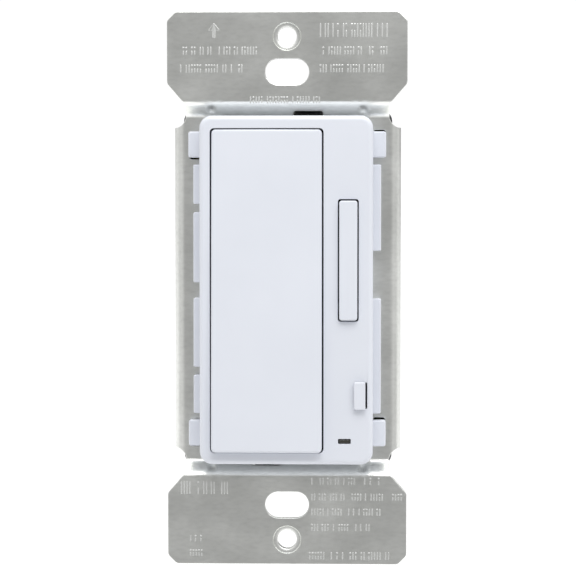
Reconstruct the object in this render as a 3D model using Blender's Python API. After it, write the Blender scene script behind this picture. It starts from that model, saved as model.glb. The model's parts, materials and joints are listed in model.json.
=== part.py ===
"""Wall dimmer with a top-hinged paddle, a two-way dimming bar and a pull-out air-gap tab.

Lengths are in metres. X runs across the strap, Y from the room (-) into the wall (+), and Z up.
The origin is the middle of the device in the wall plane, which is the back of the strap's ears.
"""

import math

import bmesh
import bpy

MM = 0.001

# Clearances
GAP = 0.3 * MM  # between pieces that touch
RUN = 0.35 * MM  # round a moving piece
FIT = 0.15 * MM  # round the light pipe's flat tip, and under the paddle

# Face frame
FACE_WIDTH = 33.0 * MM
FACE_HEIGHT = 66.4 * MM
FACE_PROUD = 6.8 * MM  # front face ahead of the wall plane
FACE_CORNER = 2.2 * MM
FACE_EDGE = 0.6 * MM  # rounding of the front edges, as a chamfer
FRONT_WALL = 1.6 * MM
SIDE_WALL = 1.0 * MM
RAIL_REACH = 1.55 * MM  # side rails beyond the face
TAB_REACH = 2.5 * MM  # corner snap tabs beyond the face
RAIL_THICKNESS = 2.4 * MM
SNAP_TAB_LENGTH = 5.0 * MM
SNAP_TAB_END = 2.9 * MM  # tab end to the face's end
SNAP_SLIT = 1.35 * MM  # slit between a snap tab and its rail
SNAP_LEG = 1.0 * MM
SNAP_HOOK = 0.6 * MM
SNAP_HOLE_INSET = 0.15 * MM  # strap's hole inside a tab's edges
SNAP_HOLE_SHIFT = 0.5 * MM  # up on the right and down on the left
RAIL_NOTCHES_LEFT = ((15.6 * MM, 1.6 * MM), (-0.2 * MM, 3.0 * MM), (-15.8 * MM, 1.6 * MM))  # middle, length
RAIL_NOTCHES_RIGHT = ((2.8 * MM, 9.2 * MM),)

# Mounting strap
EAR_WIDTH = 46.1 * MM
EAR_HEIGHT = 17.6 * MM
EAR_OUTER_CHAMFER = 1.7 * MM
EAR_INNER_CHAMFER = (3.3 * MM, 3.8 * MM)
STRAP_THICKNESS = 1.2 * MM
STRAP_MARGIN = 5.4 * MM  # side flange beyond the face
RECESS_DEPTH = 3.0 * MM  # middle of the strap behind its ears
JOGGLE_RUN = 2.1 * MM
JOGGLE_CLEARANCE = 0.3 * MM
FLANGE_RADIUS = 2.3 * MM
FLANGE_DEPTH = 7.7 * MM
RELIEF_RADIUS = 2.4 * MM
BOX_SLOT_WIDTH = 8.4 * MM
BOX_SLOT_HEIGHT = 5.0 * MM
BOX_SLOT_INSET = 6.07 * MM  # from the ear's inner end, so that the slots are 83.3 mm apart
PLATE_HOLE_INSET = 12.82 * MM  # so that the tapped holes are 96.8 mm apart
PLATE_HOLE_RADIUS = 1.85 * MM
PLATE_SINK_RADIUS = 2.75 * MM
PLATE_SINK_DEPTH = 0.8 * MM
PLATE_COLLAR_RADIUS = 2.6 * MM
PLATE_COLLAR_HEIGHT = 1.2 * MM
LUG_WIDTH = 5.6 * MM
LUG_OFFSET = 4.0 * MM
LUG_DEPTH = 10.0 * MM
LUG_WINDOW = 2.6 * MM  # opening that each lug was bent out of
DENT_WIDTH = 1.8 * MM  # stiffening dents across the fold below each ear
DENT_OFFSET = 14.6 * MM
DENT_ABOVE = 0.5 * MM
DENT_BELOW = 1.6 * MM

# Paddle
PADDLE_LEFT_STRIP = 1.95 * MM
PADDLE_TOP_STRIP = 2.35 * MM
PADDLE_BOTTOM_STRIP = 2.2 * MM
PADDLE_TO_BAR = 2.6 * MM  # strip between the two windows
PADDLE_PROUD = 0.2 * MM
PADDLE_PRESS = math.radians(1.9)
PADDLE_WALL = 1.5 * MM
PADDLE_SKIRT = 4.8 * MM
PADDLE_SKIRT_WALL = 1.1 * MM
PADDLE_CORNER = 0.8 * MM
PADDLE_EDGE = 0.35 * MM
HINGE_DROP = 3.0 * MM  # hinge below the top of the window
HINGE_DEPTH = 3.4 * MM  # hinge behind the face
HINGE_PIN_RADIUS = 0.8 * MM
HINGE_LUG = 1.7 * MM
HINGE_ARM_INSET = 5.25 * MM  # from the window's side
HINGE_LUG_INSET = 2.75 * MM
PADDLE_POST_ARM = 12.0 * MM
PADDLE_HOOK_INSET = 5.25 * MM
SPRING_RISE = 13.5 * MM  # above the paddle's lower end
SPRING_RADIUS = 2.3 * MM
SPRING_WIRE = 0.3 * MM
SPRING_TURNS = 5

# Dimming bar
BAR_WINDOW_WIDTH = 4.1 * MM
BAR_WINDOW_HEIGHT = 23.4 * MM
BAR_RIGHT_STRIP = 2.65 * MM
BAR_RISE = 14.0 * MM  # window's lower end above the middle of the air-gap tab
BAR_PROUD = 1.1 * MM
BAR_ROCK = math.radians(2.2)
BAR_PIVOT_DEPTH = 2.8 * MM
BAR_SHAFT_RADIUS = 0.9 * MM
BAR_ARM = 9.0 * MM
BAR_CORNER = 0.5 * MM

# Air-gap tab
TAB_WINDOW_WIDTH = 1.9 * MM
TAB_WINDOW_HEIGHT = 5.0 * MM
TAB_HEAD_WIDTH = 2.2 * MM
TAB_HEAD_HEIGHT = 5.3 * MM
TAB_NAIL_SLIT = 0.5 * MM
TAB_RISE = 8.75 * MM  # above the indicator
TAB_PROUD = 1.1 * MM
TAB_TRAVEL = 2.5 * MM
TAB_FOOT = 1.5 * MM
BRIDGE_THICKNESS = 0.6 * MM
CONTACT_RADIUS = 0.8 * MM
CONTACT_SPREAD = 2.0 * MM

# Indicator
INDICATOR_WIDTH = 2.4 * MM
INDICATOR_HEIGHT = 0.95 * MM
INDICATOR_RISE = 4.5 * MM  # above the face's lower end
INDICATOR_SHIFT = -0.7 * MM  # from the middle of the bar
PIPE_RADIUS = 1.2 * MM

# Carrier and plungers
CARRIER_THICKNESS = 1.6 * MM
SLEEVE_RADIUS = 2.5 * MM
SLEEVE_HEIGHT = 0.5 * MM
PLUNGER_RADIUS = 1.2 * MM
PLUNGER_HEAD_RADIUS = 2.1 * MM
PLUNGER_HEAD = 0.7 * MM
POST_RADIUS = 1.2 * MM

# Push switches
SWITCH_SIDE = 6.0 * MM
SWITCH_HEIGHT = 3.5 * MM
BUTTON_RADIUS = 1.7 * MM
BUTTON_PROUD = 0.8 * MM
BUTTON_SUNK = 1.4 * MM

# Rear housing and board
HOUSING_DEPTH = 28.0 * MM  # from the back of the strap
HOUSING_WALL = 1.6 * MM
HOUSING_REACH = 0.9 * MM  # beyond the strap's middle at each end
HOUSING_SIDE_GAP = 0.5 * MM
HOUSING_CORNER = 2.0 * MM
HOUSING_EDGE = 1.2 * MM
BOARD_STANDOFF = 8.0 * MM  # board's front behind the strap
BOARD_THICKNESS = 1.6 * MM
BOARD_GAP = 0.4 * MM
BOSS_RADIUS = 2.6 * MM
BOSS_INSET = 4.0 * MM
BOSS_FROM_MIDDLE = 20.5 * MM  # on the left
BOSS_CLEARANCE = 0.2 * MM  # between a boss on the right and the switch below it
BOSS_INWARDS = 1.6 * MM  # middle right boss nearer to the middle, so that the face covers its screw
SCREW_RADIUS = 1.3 * MM
SCREW_HEAD_RADIUS = 2.4 * MM
SCREW_HEAD = 1.6 * MM
SCREW_SINK = 2.4 * MM
SINK_WALL = 0.8 * MM  # round a sunk screw head
SINK_FLOOR = 1.2 * MM
SHEET_THICKNESS = 0.3 * MM

# Terminals
POCKET_WIDTH = 9.0 * MM
POCKET_DEPTH = 5.0 * MM
POCKET_LENGTH = 10.0 * MM
POCKET_WALL = 1.2 * MM
POCKET_BACK = 5.5 * MM  # pocket's rear end to the housing's back
PLATE_THICKNESS = 0.8 * MM
CLAMP_THICKNESS = 1.0 * MM
TERMINAL_SCREW_RADIUS = 1.6 * MM
TERMINAL_HEAD_RADIUS = 3.3 * MM
TERMINAL_HEAD = 1.6 * MM
TERMINAL_SHANK = 4.0 * MM
WIRE_HOLE_RADIUS = 1.25 * MM
WIRE_HOLE_SPREAD = 2.3 * MM
LINE_ABOVE_BOSS = 8.2 * MM
LOAD_BELOW_BOSS = 12.8 * MM

# Electronics
TRANSISTOR_WIDTH = 10.0 * MM
TRANSISTOR_PITCH = 10.5 * MM
TRANSISTOR_TAB = 6.5 * MM
TRANSISTOR_BODY = 9.0 * MM
TRANSISTOR_TAB_THICKNESS = 1.3 * MM
TRANSISTOR_THICKNESS = 2.9 * MM
LEAD_PITCH = 2.54 * MM
LEAD_SIDE = 0.8 * MM
CHIP_SIZE = (12.8 * MM, 2.3 * MM, 7.5 * MM)
CHOKE_INNER = 4.0 * MM
CHOKE_OUTER = 8.0 * MM
CHOKE_HEIGHT = 7.0 * MM
CHOKE_WIRE = 0.5 * MM
CHOKE_TURNS = 14
FILM_CAPACITOR = (18.0 * MM, 11.0 * MM, 6.5 * MM)
CAN_RADIUS = 4.0 * MM
CAN_HEIGHT = 11.5 * MM
VARISTOR_RADIUS = 5.0 * MM
VARISTOR_THICKNESS = 4.0 * MM
FUSE_RADIUS = 2.0 * MM
FUSE_LENGTH = 11.0 * MM
COMPONENT_GAP = 0.8 * MM

# Planes and edges that follow from the sizes above
STRAP_BACK = RECESS_DEPTH
STRAP_FRONT = STRAP_BACK - STRAP_THICKNESS
FACE_FRONT = -FACE_PROUD
FRAME_BACK = STRAP_FRONT - GAP
WALL_BACK = FACE_FRONT + FRONT_WALL
CARRIER_BACK = STRAP_FRONT - 1.5 * GAP
CARRIER_FRONT = CARRIER_BACK - CARRIER_THICKNESS
SLEEVE_FRONT = CARRIER_FRONT - SLEEVE_HEIGHT
HALF_FACE = FACE_WIDTH / 2
HALF_TALL = FACE_HEIGHT / 2
MIDDLE_HALF = HALF_TALL + JOGGLE_CLEARANCE
EAR_START = MIDDLE_HALF + JOGGLE_RUN
STRAP_HALF = EAR_START + EAR_HEIGHT
FLANGE_HALF = HALF_FACE + STRAP_MARGIN
BOX_SLOT_Z = EAR_START + BOX_SLOT_INSET
PLATE_HOLE_Z = EAR_START + PLATE_HOLE_INSET

BAR_X = HALF_FACE - BAR_RIGHT_STRIP - BAR_WINDOW_WIDTH / 2
INDICATOR_X = BAR_X + INDICATOR_SHIFT
INDICATOR_Z = -HALF_TALL + INDICATOR_RISE
TAB_Z = INDICATOR_Z + TAB_RISE
TAB_RIGHT = HALF_FACE - SIDE_WALL
TAB_X = TAB_RIGHT - TAB_WINDOW_WIDTH / 2
BAR_Z = TAB_Z + BAR_RISE + BAR_WINDOW_HEIGHT / 2
PADDLE_LEFT = -HALF_FACE + PADDLE_LEFT_STRIP
PADDLE_RIGHT = BAR_X - BAR_WINDOW_WIDTH / 2 - PADDLE_TO_BAR
PADDLE_TOP = HALF_TALL - PADDLE_TOP_STRIP
PADDLE_BOTTOM = -HALF_TALL + PADDLE_BOTTOM_STRIP
PADDLE_X = (PADDLE_LEFT + PADDLE_RIGHT) / 2
HINGE_ARM_SPREAD = PADDLE_RIGHT - PADDLE_X - HINGE_ARM_INSET
HINGE_LUG_SPREAD = PADDLE_RIGHT - PADDLE_X - HINGE_LUG_INSET
PADDLE_HOOK_SPREAD = PADDLE_RIGHT - PADDLE_X - PADDLE_HOOK_INSET
HINGE_Y = FACE_FRONT + HINGE_DEPTH
HINGE_Z = PADDLE_TOP - HINGE_DROP
BAR_PIVOT_Y = FACE_FRONT + BAR_PIVOT_DEPTH
SPRING_Z = PADDLE_BOTTOM + SPRING_RISE

HOUSING_FRONT = STRAP_BACK + GAP
HOUSING_BACK = STRAP_BACK + HOUSING_DEPTH
HOUSING_HALF = FLANGE_HALF - STRAP_THICKNESS - HOUSING_SIDE_GAP
HOUSING_TALL = MIDDLE_HALF + HOUSING_REACH
INNER_HALF = HOUSING_HALF - HOUSING_WALL
INNER_TALL = HOUSING_TALL - HOUSING_WALL
BOARD_FRONT = STRAP_BACK + BOARD_STANDOFF
BOARD_BACK = BOARD_FRONT + BOARD_THICKNESS
BOARD_HALF = INNER_HALF - BOARD_GAP
BOARD_TALL = INNER_TALL - BOARD_GAP
BOSS_X = HOUSING_HALF - BOSS_INSET
POCKET_FLOOR = HOUSING_HALF - POCKET_DEPTH
POCKET_REAR = HOUSING_BACK - POCKET_BACK
POCKET_FRONT = POCKET_REAR - POCKET_LENGTH
POCKET_MIDDLE = (POCKET_FRONT + POCKET_REAR) / 2
SWITCH_FRONT = BOARD_FRONT - GAP - SWITCH_HEIGHT
BUTTON_FRONT = SWITCH_FRONT - BUTTON_PROUD
PADDLE_TRAVEL = PADDLE_POST_ARM * math.sin(PADDLE_PRESS)
BAR_TRAVEL = BAR_ARM * math.sin(BAR_ROCK)
PLUNGER_TRAVEL = max(PADDLE_TRAVEL, BAR_TRAVEL)
PLUNGER_FRONT = SLEEVE_FRONT - GAP - PLUNGER_TRAVEL - PLUNGER_HEAD
POST_END = PLUNGER_FRONT - GAP
SWITCHES = (
    ("paddle", PADDLE_X, HINGE_Z - PADDLE_POST_ARM),
    ("brighten", BAR_X, BAR_Z + BAR_ARM),
    ("dim", BAR_X, BAR_Z - BAR_ARM),
)
MIDDLE_BOSS_Z = BAR_Z - BAR_ARM + SWITCH_SIDE / 2 + BOSS_RADIUS + BOSS_CLEARANCE
HOUSING_SCREWS = (  # name and centre
    ("upper_left", -BOSS_X, BOSS_FROM_MIDDLE),
    ("lower_left", -BOSS_X, -BOSS_FROM_MIDDLE),
    ("upper_right", BOSS_X, BAR_Z + BAR_ARM + SWITCH_SIDE / 2 + BOSS_RADIUS + BOSS_CLEARANCE),
    ("middle_right", BOSS_X - BOSS_INWARDS, MIDDLE_BOSS_Z),
)
TERMINALS = (  # name, side, height
    ("line", 1, MIDDLE_BOSS_Z + LINE_ABOVE_BOSS),
    ("load", 1, MIDDLE_BOSS_Z - LOAD_BELOW_BOSS),
    ("traveler", -1, 0.0),
)
TRANSISTOR_TOP = SWITCHES[0][2] - SWITCH_SIDE / 2 - 1.5 * MM
TRANSISTOR_RIGHT = BAR_X - SWITCH_SIDE / 2 - COMPONENT_GAP - TRANSISTOR_WIDTH / 2
TRANSISTORS = (("left", TRANSISTOR_RIGHT - TRANSISTOR_PITCH), ("right", TRANSISTOR_RIGHT))
TAB_FOOT_FRONT = STRAP_BACK + GAP + TAB_TRAVEL
TAB_FOOT_BACK = TAB_FOOT_FRONT + TAB_FOOT
TAB_FOOT_HALF_X = 1.6 * MM
TAB_FOOT_HALF_Z = 3.0 * MM

# Finishes: colour, roughness, metallic
WHITE_PLASTIC = ((0.86, 0.87, 0.90), 0.35, 0.0)
STRAP_METAL = ((0.62, 0.63, 0.61), 0.42, 1.0)
BLACK_PLASTIC = ((0.04, 0.04, 0.045), 0.5, 0.0)
GREY_PLASTIC = ((0.45, 0.46, 0.47), 0.5, 0.0)
STEEL = ((0.70, 0.70, 0.72), 0.3, 1.0)
BRASS = ((0.80, 0.62, 0.30), 0.3, 1.0)
GREEN_STEEL = ((0.10, 0.45, 0.20), 0.35, 1.0)
BOARD_GREEN = ((0.05, 0.25, 0.12), 0.5, 0.0)
COPPER = ((0.72, 0.38, 0.20), 0.3, 1.0)
FERRITE = ((0.12, 0.12, 0.12), 0.6, 0.0)
FILM_YELLOW = ((0.85, 0.65, 0.10), 0.4, 0.0)
CAN_SLEEVE = ((0.05, 0.08, 0.20), 0.4, 0.0)
VARISTOR_BLUE = ((0.08, 0.20, 0.50), 0.45, 0.0)
FUSE_WHITE = ((0.85, 0.84, 0.80), 0.5, 0.0)
FISH_PAPER = ((0.35, 0.30, 0.20), 0.8, 0.0)
SILICONE = ((0.60, 0.62, 0.66), 0.7, 0.0)
CLEAR_PLASTIC = ((0.30, 0.32, 0.28), 0.1, 0.0)


# --- outlines ---------------------------------------------------------------------------------------


def rectangle(u0, u1, v0, v1):
    return [(u0, v0), (u1, v0), (u1, v1), (u0, v1)]


def arc(u, v, radius, start, end, steps):
    """Points on a circle's arc, with both ends, angles in degrees."""
    angles = [math.radians(start + (end - start) * i / steps) for i in range(steps + 1)]
    return [(u + radius * math.cos(a), v + radius * math.sin(a)) for a in angles]


def rounded(u0, u1, v0, v1, radius, steps=6):
    """A rectangle with round corners."""
    corners = ((u1, v0, -90), (u1, v1, 0), (u0, v1, 90), (u0, v0, 180))
    points = []
    for u, v, start in corners:
        centre_u = u - radius if u == u1 else u + radius
        centre_v = v - radius if v == v1 else v + radius
        points += arc(centre_u, centre_v, radius, start, start + 90, steps)
    return points


def stadium(length, height, v, steps=8):
    """A slot with round ends, its length along the first axis."""
    reach = (length - height) / 2
    return arc(reach, v, height / 2, -90, 90, steps) + arc(-reach, v, height / 2, 90, 270, steps)


def both_sides(points):
    """An outline made of points on its right side, from top to bottom, and their mirror image."""
    return points + [(-u, v) for u, v in reversed(points)]


# --- solids -----------------------------------------------------------------------------------------


def place(axis, u, v, along):
    """A point from two coordinates in the plane square to axis, and one along it."""
    return {"X": (along, u, v), "Y": (u, along, v), "Z": (u, v, along)}[axis]


def add_object(name, points, faces, finish):
    """A closed mesh object whose faces point out."""
    mesh = bpy.data.meshes.new(name)
    mesh.from_pydata(points, [], faces)
    shape = bmesh.new()
    shape.from_mesh(mesh)
    bmesh.ops.recalc_face_normals(shape, faces=shape.faces)
    shape.to_mesh(mesh)
    shape.free()
    made = bpy.data.objects.new(name, mesh)
    bpy.context.scene.collection.objects.link(made)
    set_finish(made, finish)
    return made


def set_finish(made, finish):
    """A material of the object's own, named after it."""
    colour, roughness, metallic = finish
    material = bpy.data.materials.new(made.name)
    material.use_nodes = True
    shader = material.node_tree.nodes["Principled BSDF"]
    shader.inputs["Base Color"].default_value = (*colour, 1.0)
    shader.inputs["Roughness"].default_value = roughness
    shader.inputs["Metallic"].default_value = metallic
    made.data.materials.clear()
    made.data.materials.append(material)


def loft(name, axis, sections, finish):
    """A solid skinned over outlines with equal numbers of points, each (outline, place along axis)."""
    count = len(sections[0][0])
    points = [place(axis, u, v, along) for outline, along in sections for u, v in outline]
    faces = [tuple(range(count)), tuple(range((len(sections) - 1) * count, len(sections) * count))]
    for level in range(len(sections) - 1):
        for i in range(count):
            a = level * count + i
            b = level * count + (i + 1) % count
            faces.append((a, b, b + count, a + count))
    return add_object(name, points, faces, finish)


def prism(name, outline, axis, low, high, finish=GREY_PLASTIC):
    return loft(name, axis, [(outline, low), (outline, high)], finish)


def box(name, xs, ys, zs, finish=GREY_PLASTIC):
    return prism(name, rectangle(xs[0], xs[1], ys[0], ys[1]), "Z", zs[0], zs[1], finish)


def turned(name, profile, axis, centre, finish=GREY_PLASTIC, sides=24):
    """A round solid: profile holds (radius, place along axis), and centre its two other coordinates."""
    sections = []
    for radius, along in profile:
        ring = [(centre[0] + radius * math.cos(2 * math.pi * i / sides),
                 centre[1] + radius * math.sin(2 * math.pi * i / sides)) for i in range(sides)]
        sections.append((ring, along))
    return loft(name, axis, sections, finish)


def rod(name, radius, axis, centre, low, high, finish=GREY_PLASTIC, sides=24):
    return turned(name, [(radius, low), (radius, high)], axis, centre, finish, sides)


def wire(name, points, radius, finish):
    """A round wire along points, with closed ends."""
    curve = bpy.data.curves.new(name, "CURVE")
    curve.dimensions = "3D"
    curve.bevel_depth = radius
    curve.bevel_resolution = 2
    curve.use_fill_caps = True
    spline = curve.splines.new("POLY")
    spline.points.add(len(points) - 1)
    for target, point in zip(spline.points, points):
        target.co = (*point, 1.0)
    made = bpy.data.objects.new(name, curve)
    bpy.context.scene.collection.objects.link(made)
    set_finish(made, finish)
    return made


def combine(target, tool, operation):
    """Applies a Boolean of tool to target, and removes the tool."""
    modifier = target.modifiers.new(operation.title(), "BOOLEAN")
    modifier.object = tool
    modifier.operation = operation
    graph = bpy.context.evaluated_depsgraph_get()
    mesh = bpy.data.meshes.new_from_object(target.evaluated_get(graph))
    material = target.data.materials[0]
    target.modifiers.clear()
    target.data = mesh
    mesh.materials.clear()
    mesh.materials.append(material)
    bpy.data.objects.remove(tool)


def join(target, *tools):
    for tool in tools:
        combine(target, tool, "UNION")


def cut(target, *tools):
    for tool in tools:
        combine(target, tool, "DIFFERENCE")


def set_pivot(made, pivot, tilt=0.0):
    """Puts the object's origin at pivot, and turns it by tilt about X there."""
    for vertex in made.data.vertices:
        vertex.co = [a - b for a, b in zip(vertex.co, pivot)]
    made.location = pivot
    made.rotation_euler = (tilt, 0.0, 0.0)


def around(middle, half):
    return (middle - half, middle + half)


# --- strap ------------------------------------------------------------------------------------------


def strap_profile():
    """The strap from the side, as (y, z): ears in the wall plane and a middle set back behind them."""
    bend = math.atan2(RECESS_DEPTH, JOGGLE_RUN)
    shift = STRAP_THICKNESS * math.tan(bend / 2)
    front = [(-STRAP_THICKNESS, STRAP_HALF), (-STRAP_THICKNESS, EAR_START), (STRAP_FRONT, MIDDLE_HALF)]
    back = [(0.0, STRAP_HALF), (0.0, EAR_START + shift), (STRAP_BACK, MIDDLE_HALF + shift)]
    front += [(y, -z) for y, z in reversed(front)]
    back += [(y, -z) for y, z in reversed(back)]
    return front + back[::-1]


def strap_plan():
    """The strap from the front, as (x, z)."""
    half = EAR_WIDTH / 2
    chamfer_x, chamfer_z = EAR_INNER_CHAMFER
    flat_half = FLANGE_HALF - FLANGE_RADIUS
    outer = FLANGE_HALF + MM
    top = [
        (half - EAR_OUTER_CHAMFER, STRAP_HALF + MM),
        (half - EAR_OUTER_CHAMFER, STRAP_HALF),
        (half, STRAP_HALF - EAR_OUTER_CHAMFER),
        (half, EAR_START + chamfer_z),
        (half - chamfer_x, EAR_START),
        (flat_half, EAR_START - 0.3 * MM),
    ]
    top += arc(flat_half + RELIEF_RADIUS, MIDDLE_HALF, RELIEF_RADIUS, 180, 270, 10)
    top.append((outer, MIDDLE_HALF - RELIEF_RADIUS))
    return both_sides(top + [(x, -z) for x, z in reversed(top)])


def side_flange(side):
    """A rounded flange bent back along one side of the strap."""
    flat = FLANGE_HALF - FLANGE_RADIUS
    centre = STRAP_FRONT + FLANGE_RADIUS
    inner = FLANGE_RADIUS - STRAP_THICKNESS
    end = STRAP_FRONT + FLANGE_DEPTH
    outline = [(flat - MM, STRAP_FRONT)] + arc(flat, centre, FLANGE_RADIUS, -90, 0, 8)
    outline += [(FLANGE_HALF, end), (FLANGE_HALF - STRAP_THICKNESS, end)]
    outline += arc(flat, centre, inner, 0, -90, 6) + [(flat - MM, STRAP_BACK)]
    outline = [(side * x, y) for x, y in outline]
    return prism("flange", outline, "Z", -MIDDLE_HALF, MIDDLE_HALF)


def plate_hole(side):
    """What is cut for a wall plate's screw: a countersink and a tapped hole's bore."""
    front = -STRAP_THICKNESS
    profile = [
        (PLATE_SINK_RADIUS + 0.5 * MM, front - 0.5 * MM),
        (PLATE_HOLE_RADIUS, front + PLATE_SINK_DEPTH),
        (PLATE_HOLE_RADIUS, PLATE_COLLAR_HEIGHT + MM),
    ]
    return turned("hole", profile, "Y", (0.0, side * PLATE_HOLE_Z))


def snap_hole_z(side):
    """Middle of a corner snap tab, from its own end of the face."""
    return side * (HALF_TALL - SNAP_TAB_END - SNAP_TAB_LENGTH / 2)


def fold_dent(side):
    """What a dent takes off the corner between an ear and its fold, as (y, z)."""
    slope = RECESS_DEPTH / JOGGLE_RUN
    above = (-STRAP_THICKNESS, EAR_START + DENT_ABOVE)
    below = (-STRAP_THICKNESS + slope * DENT_BELOW, EAR_START - DENT_BELOW)
    ahead = (-STRAP_THICKNESS - MM, EAR_START)
    start = (2 * above[0] - below[0], 2 * above[1] - below[1])
    return [(y, side * z) for y, z in (start, below, ahead)]


def through_strap(outline):
    return prism("hole", outline, "Y", -STRAP_THICKNESS - MM, STRAP_BACK + MM)


def make_strap():
    strap = prism("mounting_strap", strap_profile(), "X", -EAR_WIDTH / 2, EAR_WIDTH / 2, STRAP_METAL)
    join(strap, side_flange(1), side_flange(-1))
    plan = prism("plan", strap_plan(), "Y", -STRAP_THICKNESS - MM, STRAP_FRONT + FLANGE_DEPTH + MM)
    combine(strap, plan, "INTERSECT")
    for side in (1, -1):
        lug_x = around(side * LUG_OFFSET, LUG_WIDTH / 2)
        inner = HOUSING_TALL + HOUSING_SIDE_GAP
        outer = inner + STRAP_THICKNESS
        lug_z = sorted((side * inner, side * outer))
        window_z = sorted((side * (inner - GAP), side * (inner - GAP - LUG_WINDOW)))
        join(strap, box("lug", lug_x, (0.0, STRAP_BACK + LUG_DEPTH), lug_z))
        join(strap, rod("collar", PLATE_COLLAR_RADIUS, "Y", (0.0, side * PLATE_HOLE_Z),
                        -0.6 * STRAP_THICKNESS, PLATE_COLLAR_HEIGHT))
        cut(strap, plate_hole(side), through_strap(rectangle(*lug_x, *window_z)))
        cut(strap, through_strap(stadium(BOX_SLOT_WIDTH, BOX_SLOT_HEIGHT, side * BOX_SLOT_Z)))
        for x in (-DENT_OFFSET, DENT_OFFSET):
            cut(strap, prism("dent", fold_dent(side), "X", *around(x, DENT_WIDTH / 2)))
        for other in (1, -1):
            snap_x = other * (HALF_FACE + TAB_REACH / 2)
            snap = rounded(*around(snap_x, TAB_REACH / 2 - SNAP_HOLE_INSET),
                           *around(snap_hole_z(side) + other * SNAP_HOLE_SHIFT, SNAP_TAB_LENGTH / 2),
                           0.4 * MM, 2)
            cut(strap, through_strap(snap))
    for _, x, z in HOUSING_SCREWS:
        cut(strap, rod("hole", SCREW_RADIUS + RUN, "Y", (x, z), STRAP_FRONT - MM,
                       STRAP_BACK + MM, sides=16))
    for _, x, z in SWITCHES:
        cut(strap, rod("hole", PLUNGER_RADIUS + 2 * RUN, "Y", (x, z), STRAP_FRONT - MM, STRAP_BACK + MM,
                       sides=16))
    for _, x in TRANSISTORS:
        cut(strap, rod("hole", SCREW_RADIUS + RUN, "Y", (x, TRANSISTOR_TOP - TRANSISTOR_TAB / 2),
                       STRAP_FRONT - MM, STRAP_BACK + MM, sides=16))
    cut(strap, rod("hole", PIPE_RADIUS + RUN, "Y", (INDICATOR_X, INDICATOR_Z),
                   STRAP_FRONT - MM, STRAP_BACK + MM, sides=16))
    cut(strap, through_strap(stem_hole(2 * RUN)))
    lug_face = -(HOUSING_TALL + HOUSING_SIDE_GAP)
    cut(strap, rod("hole", SCREW_RADIUS + RUN, "Z", ground_screw_centre(),
                   lug_face - STRAP_THICKNESS - MM, lug_face + MM, sides=16))


# --- face frame -------------------------------------------------------------------------------------


def snap_tab(side, end):
    """A corner tab of the frame, with a hooked leg through the strap."""
    low = HALF_FACE - SIDE_WALL / 2
    xs = sorted((side * low, side * (HALF_FACE + TAB_REACH)))
    zs = around(snap_hole_z(end), SNAP_TAB_LENGTH / 2)
    tab = box("tab", xs, (FRAME_BACK - RAIL_THICKNESS, FRAME_BACK), zs)
    leg_z = around(snap_hole_z(end), SNAP_TAB_LENGTH / 2 - 1.3 * MM)
    hook_y = STRAP_BACK + GAP
    foot = hook_y + 1.2 * MM
    inner = HALF_FACE + SNAP_HOLE_INSET + GAP
    outer = inner + SNAP_LEG
    outline = [(inner, FRAME_BACK - 0.5 * MM), (outer, FRAME_BACK - 0.5 * MM), (outer, foot),
               (inner, foot), (inner - SNAP_HOOK, hook_y), (inner, hook_y)]
    outline = [(side * x, y) for x, y in outline]
    join(tab, prism("leg", outline, "Z", leg_z[0], leg_z[1]))
    return tab


def side_rail(side, notches):
    """One of the frame's side rails, which lie on the strap, with its notches."""
    half = HALF_TALL - SNAP_TAB_END - SNAP_TAB_LENGTH - SNAP_SLIT
    low = HALF_FACE - SIDE_WALL / 2
    ys = (FRAME_BACK - RAIL_THICKNESS, FRAME_BACK)
    rail = box("rail", sorted((side * low, side * (HALF_FACE + RAIL_REACH))), ys, (-half, half))
    for middle, length in notches:
        cut(rail, box("notch", sorted((side * HALF_FACE, side * (HALF_FACE + 2 * RAIL_REACH))),
                      (ys[0] - MM, ys[1] + MM), around(middle, length / 2)))
    return rail


def window(outline):
    """A hole through the frame's front wall."""
    return prism("window", outline, "Y", FACE_FRONT - MM, WALL_BACK + MM)


def frame_shell():
    """The frame's box, open at the back, with its front edges eased."""
    wide = rounded(-HALF_FACE, HALF_FACE, -HALF_TALL, HALF_TALL, FACE_CORNER)
    eased_half, eased_tall = HALF_FACE - FACE_EDGE, HALF_TALL - FACE_EDGE
    eased = rounded(-eased_half, eased_half, -eased_tall, eased_tall, FACE_CORNER - FACE_EDGE)
    sections = [(eased, FACE_FRONT), (wide, FACE_FRONT + FACE_EDGE), (wide, FRAME_BACK)]
    shell = loft("face_frame", "Y", sections, WHITE_PLASTIC)
    half, tall = HALF_FACE - SIDE_WALL, HALF_TALL - SIDE_WALL
    cavity = rounded(-half, half, -tall, tall, FACE_CORNER - SIDE_WALL, 2)
    cut(shell, prism("cavity", cavity, "Y", WALL_BACK, FRAME_BACK + MM))
    return shell


def bar_bearing(low, high):
    """A wall behind the frame's front that the bar's shaft turns in."""
    ys = (WALL_BACK - 0.5 * MM, BAR_PIVOT_Y + BAR_SHAFT_RADIUS + 1.3 * MM)
    bearing = box("bearing", (low, high), ys, around(BAR_Z, 2.4 * MM))
    cut(bearing, rod("bore", BAR_SHAFT_RADIUS + RUN, "X", (BAR_PIVOT_Y, BAR_Z), low - MM, high + MM))
    return bearing


def hinge_arm(x):
    """An arm from the frame's top wall to the paddle's hinge pin."""
    ys = (HINGE_Y - HINGE_LUG, HINGE_Y + HINGE_LUG)
    arm = box("arm", around(x, 0.8 * MM), ys, (HINGE_Z - HINGE_LUG, HALF_TALL - SIDE_WALL / 2))
    cut(arm, rod("bore", HINGE_PIN_RADIUS + GAP, "X", (HINGE_Y, HINGE_Z), x - MM, x + MM))
    return arm


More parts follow.
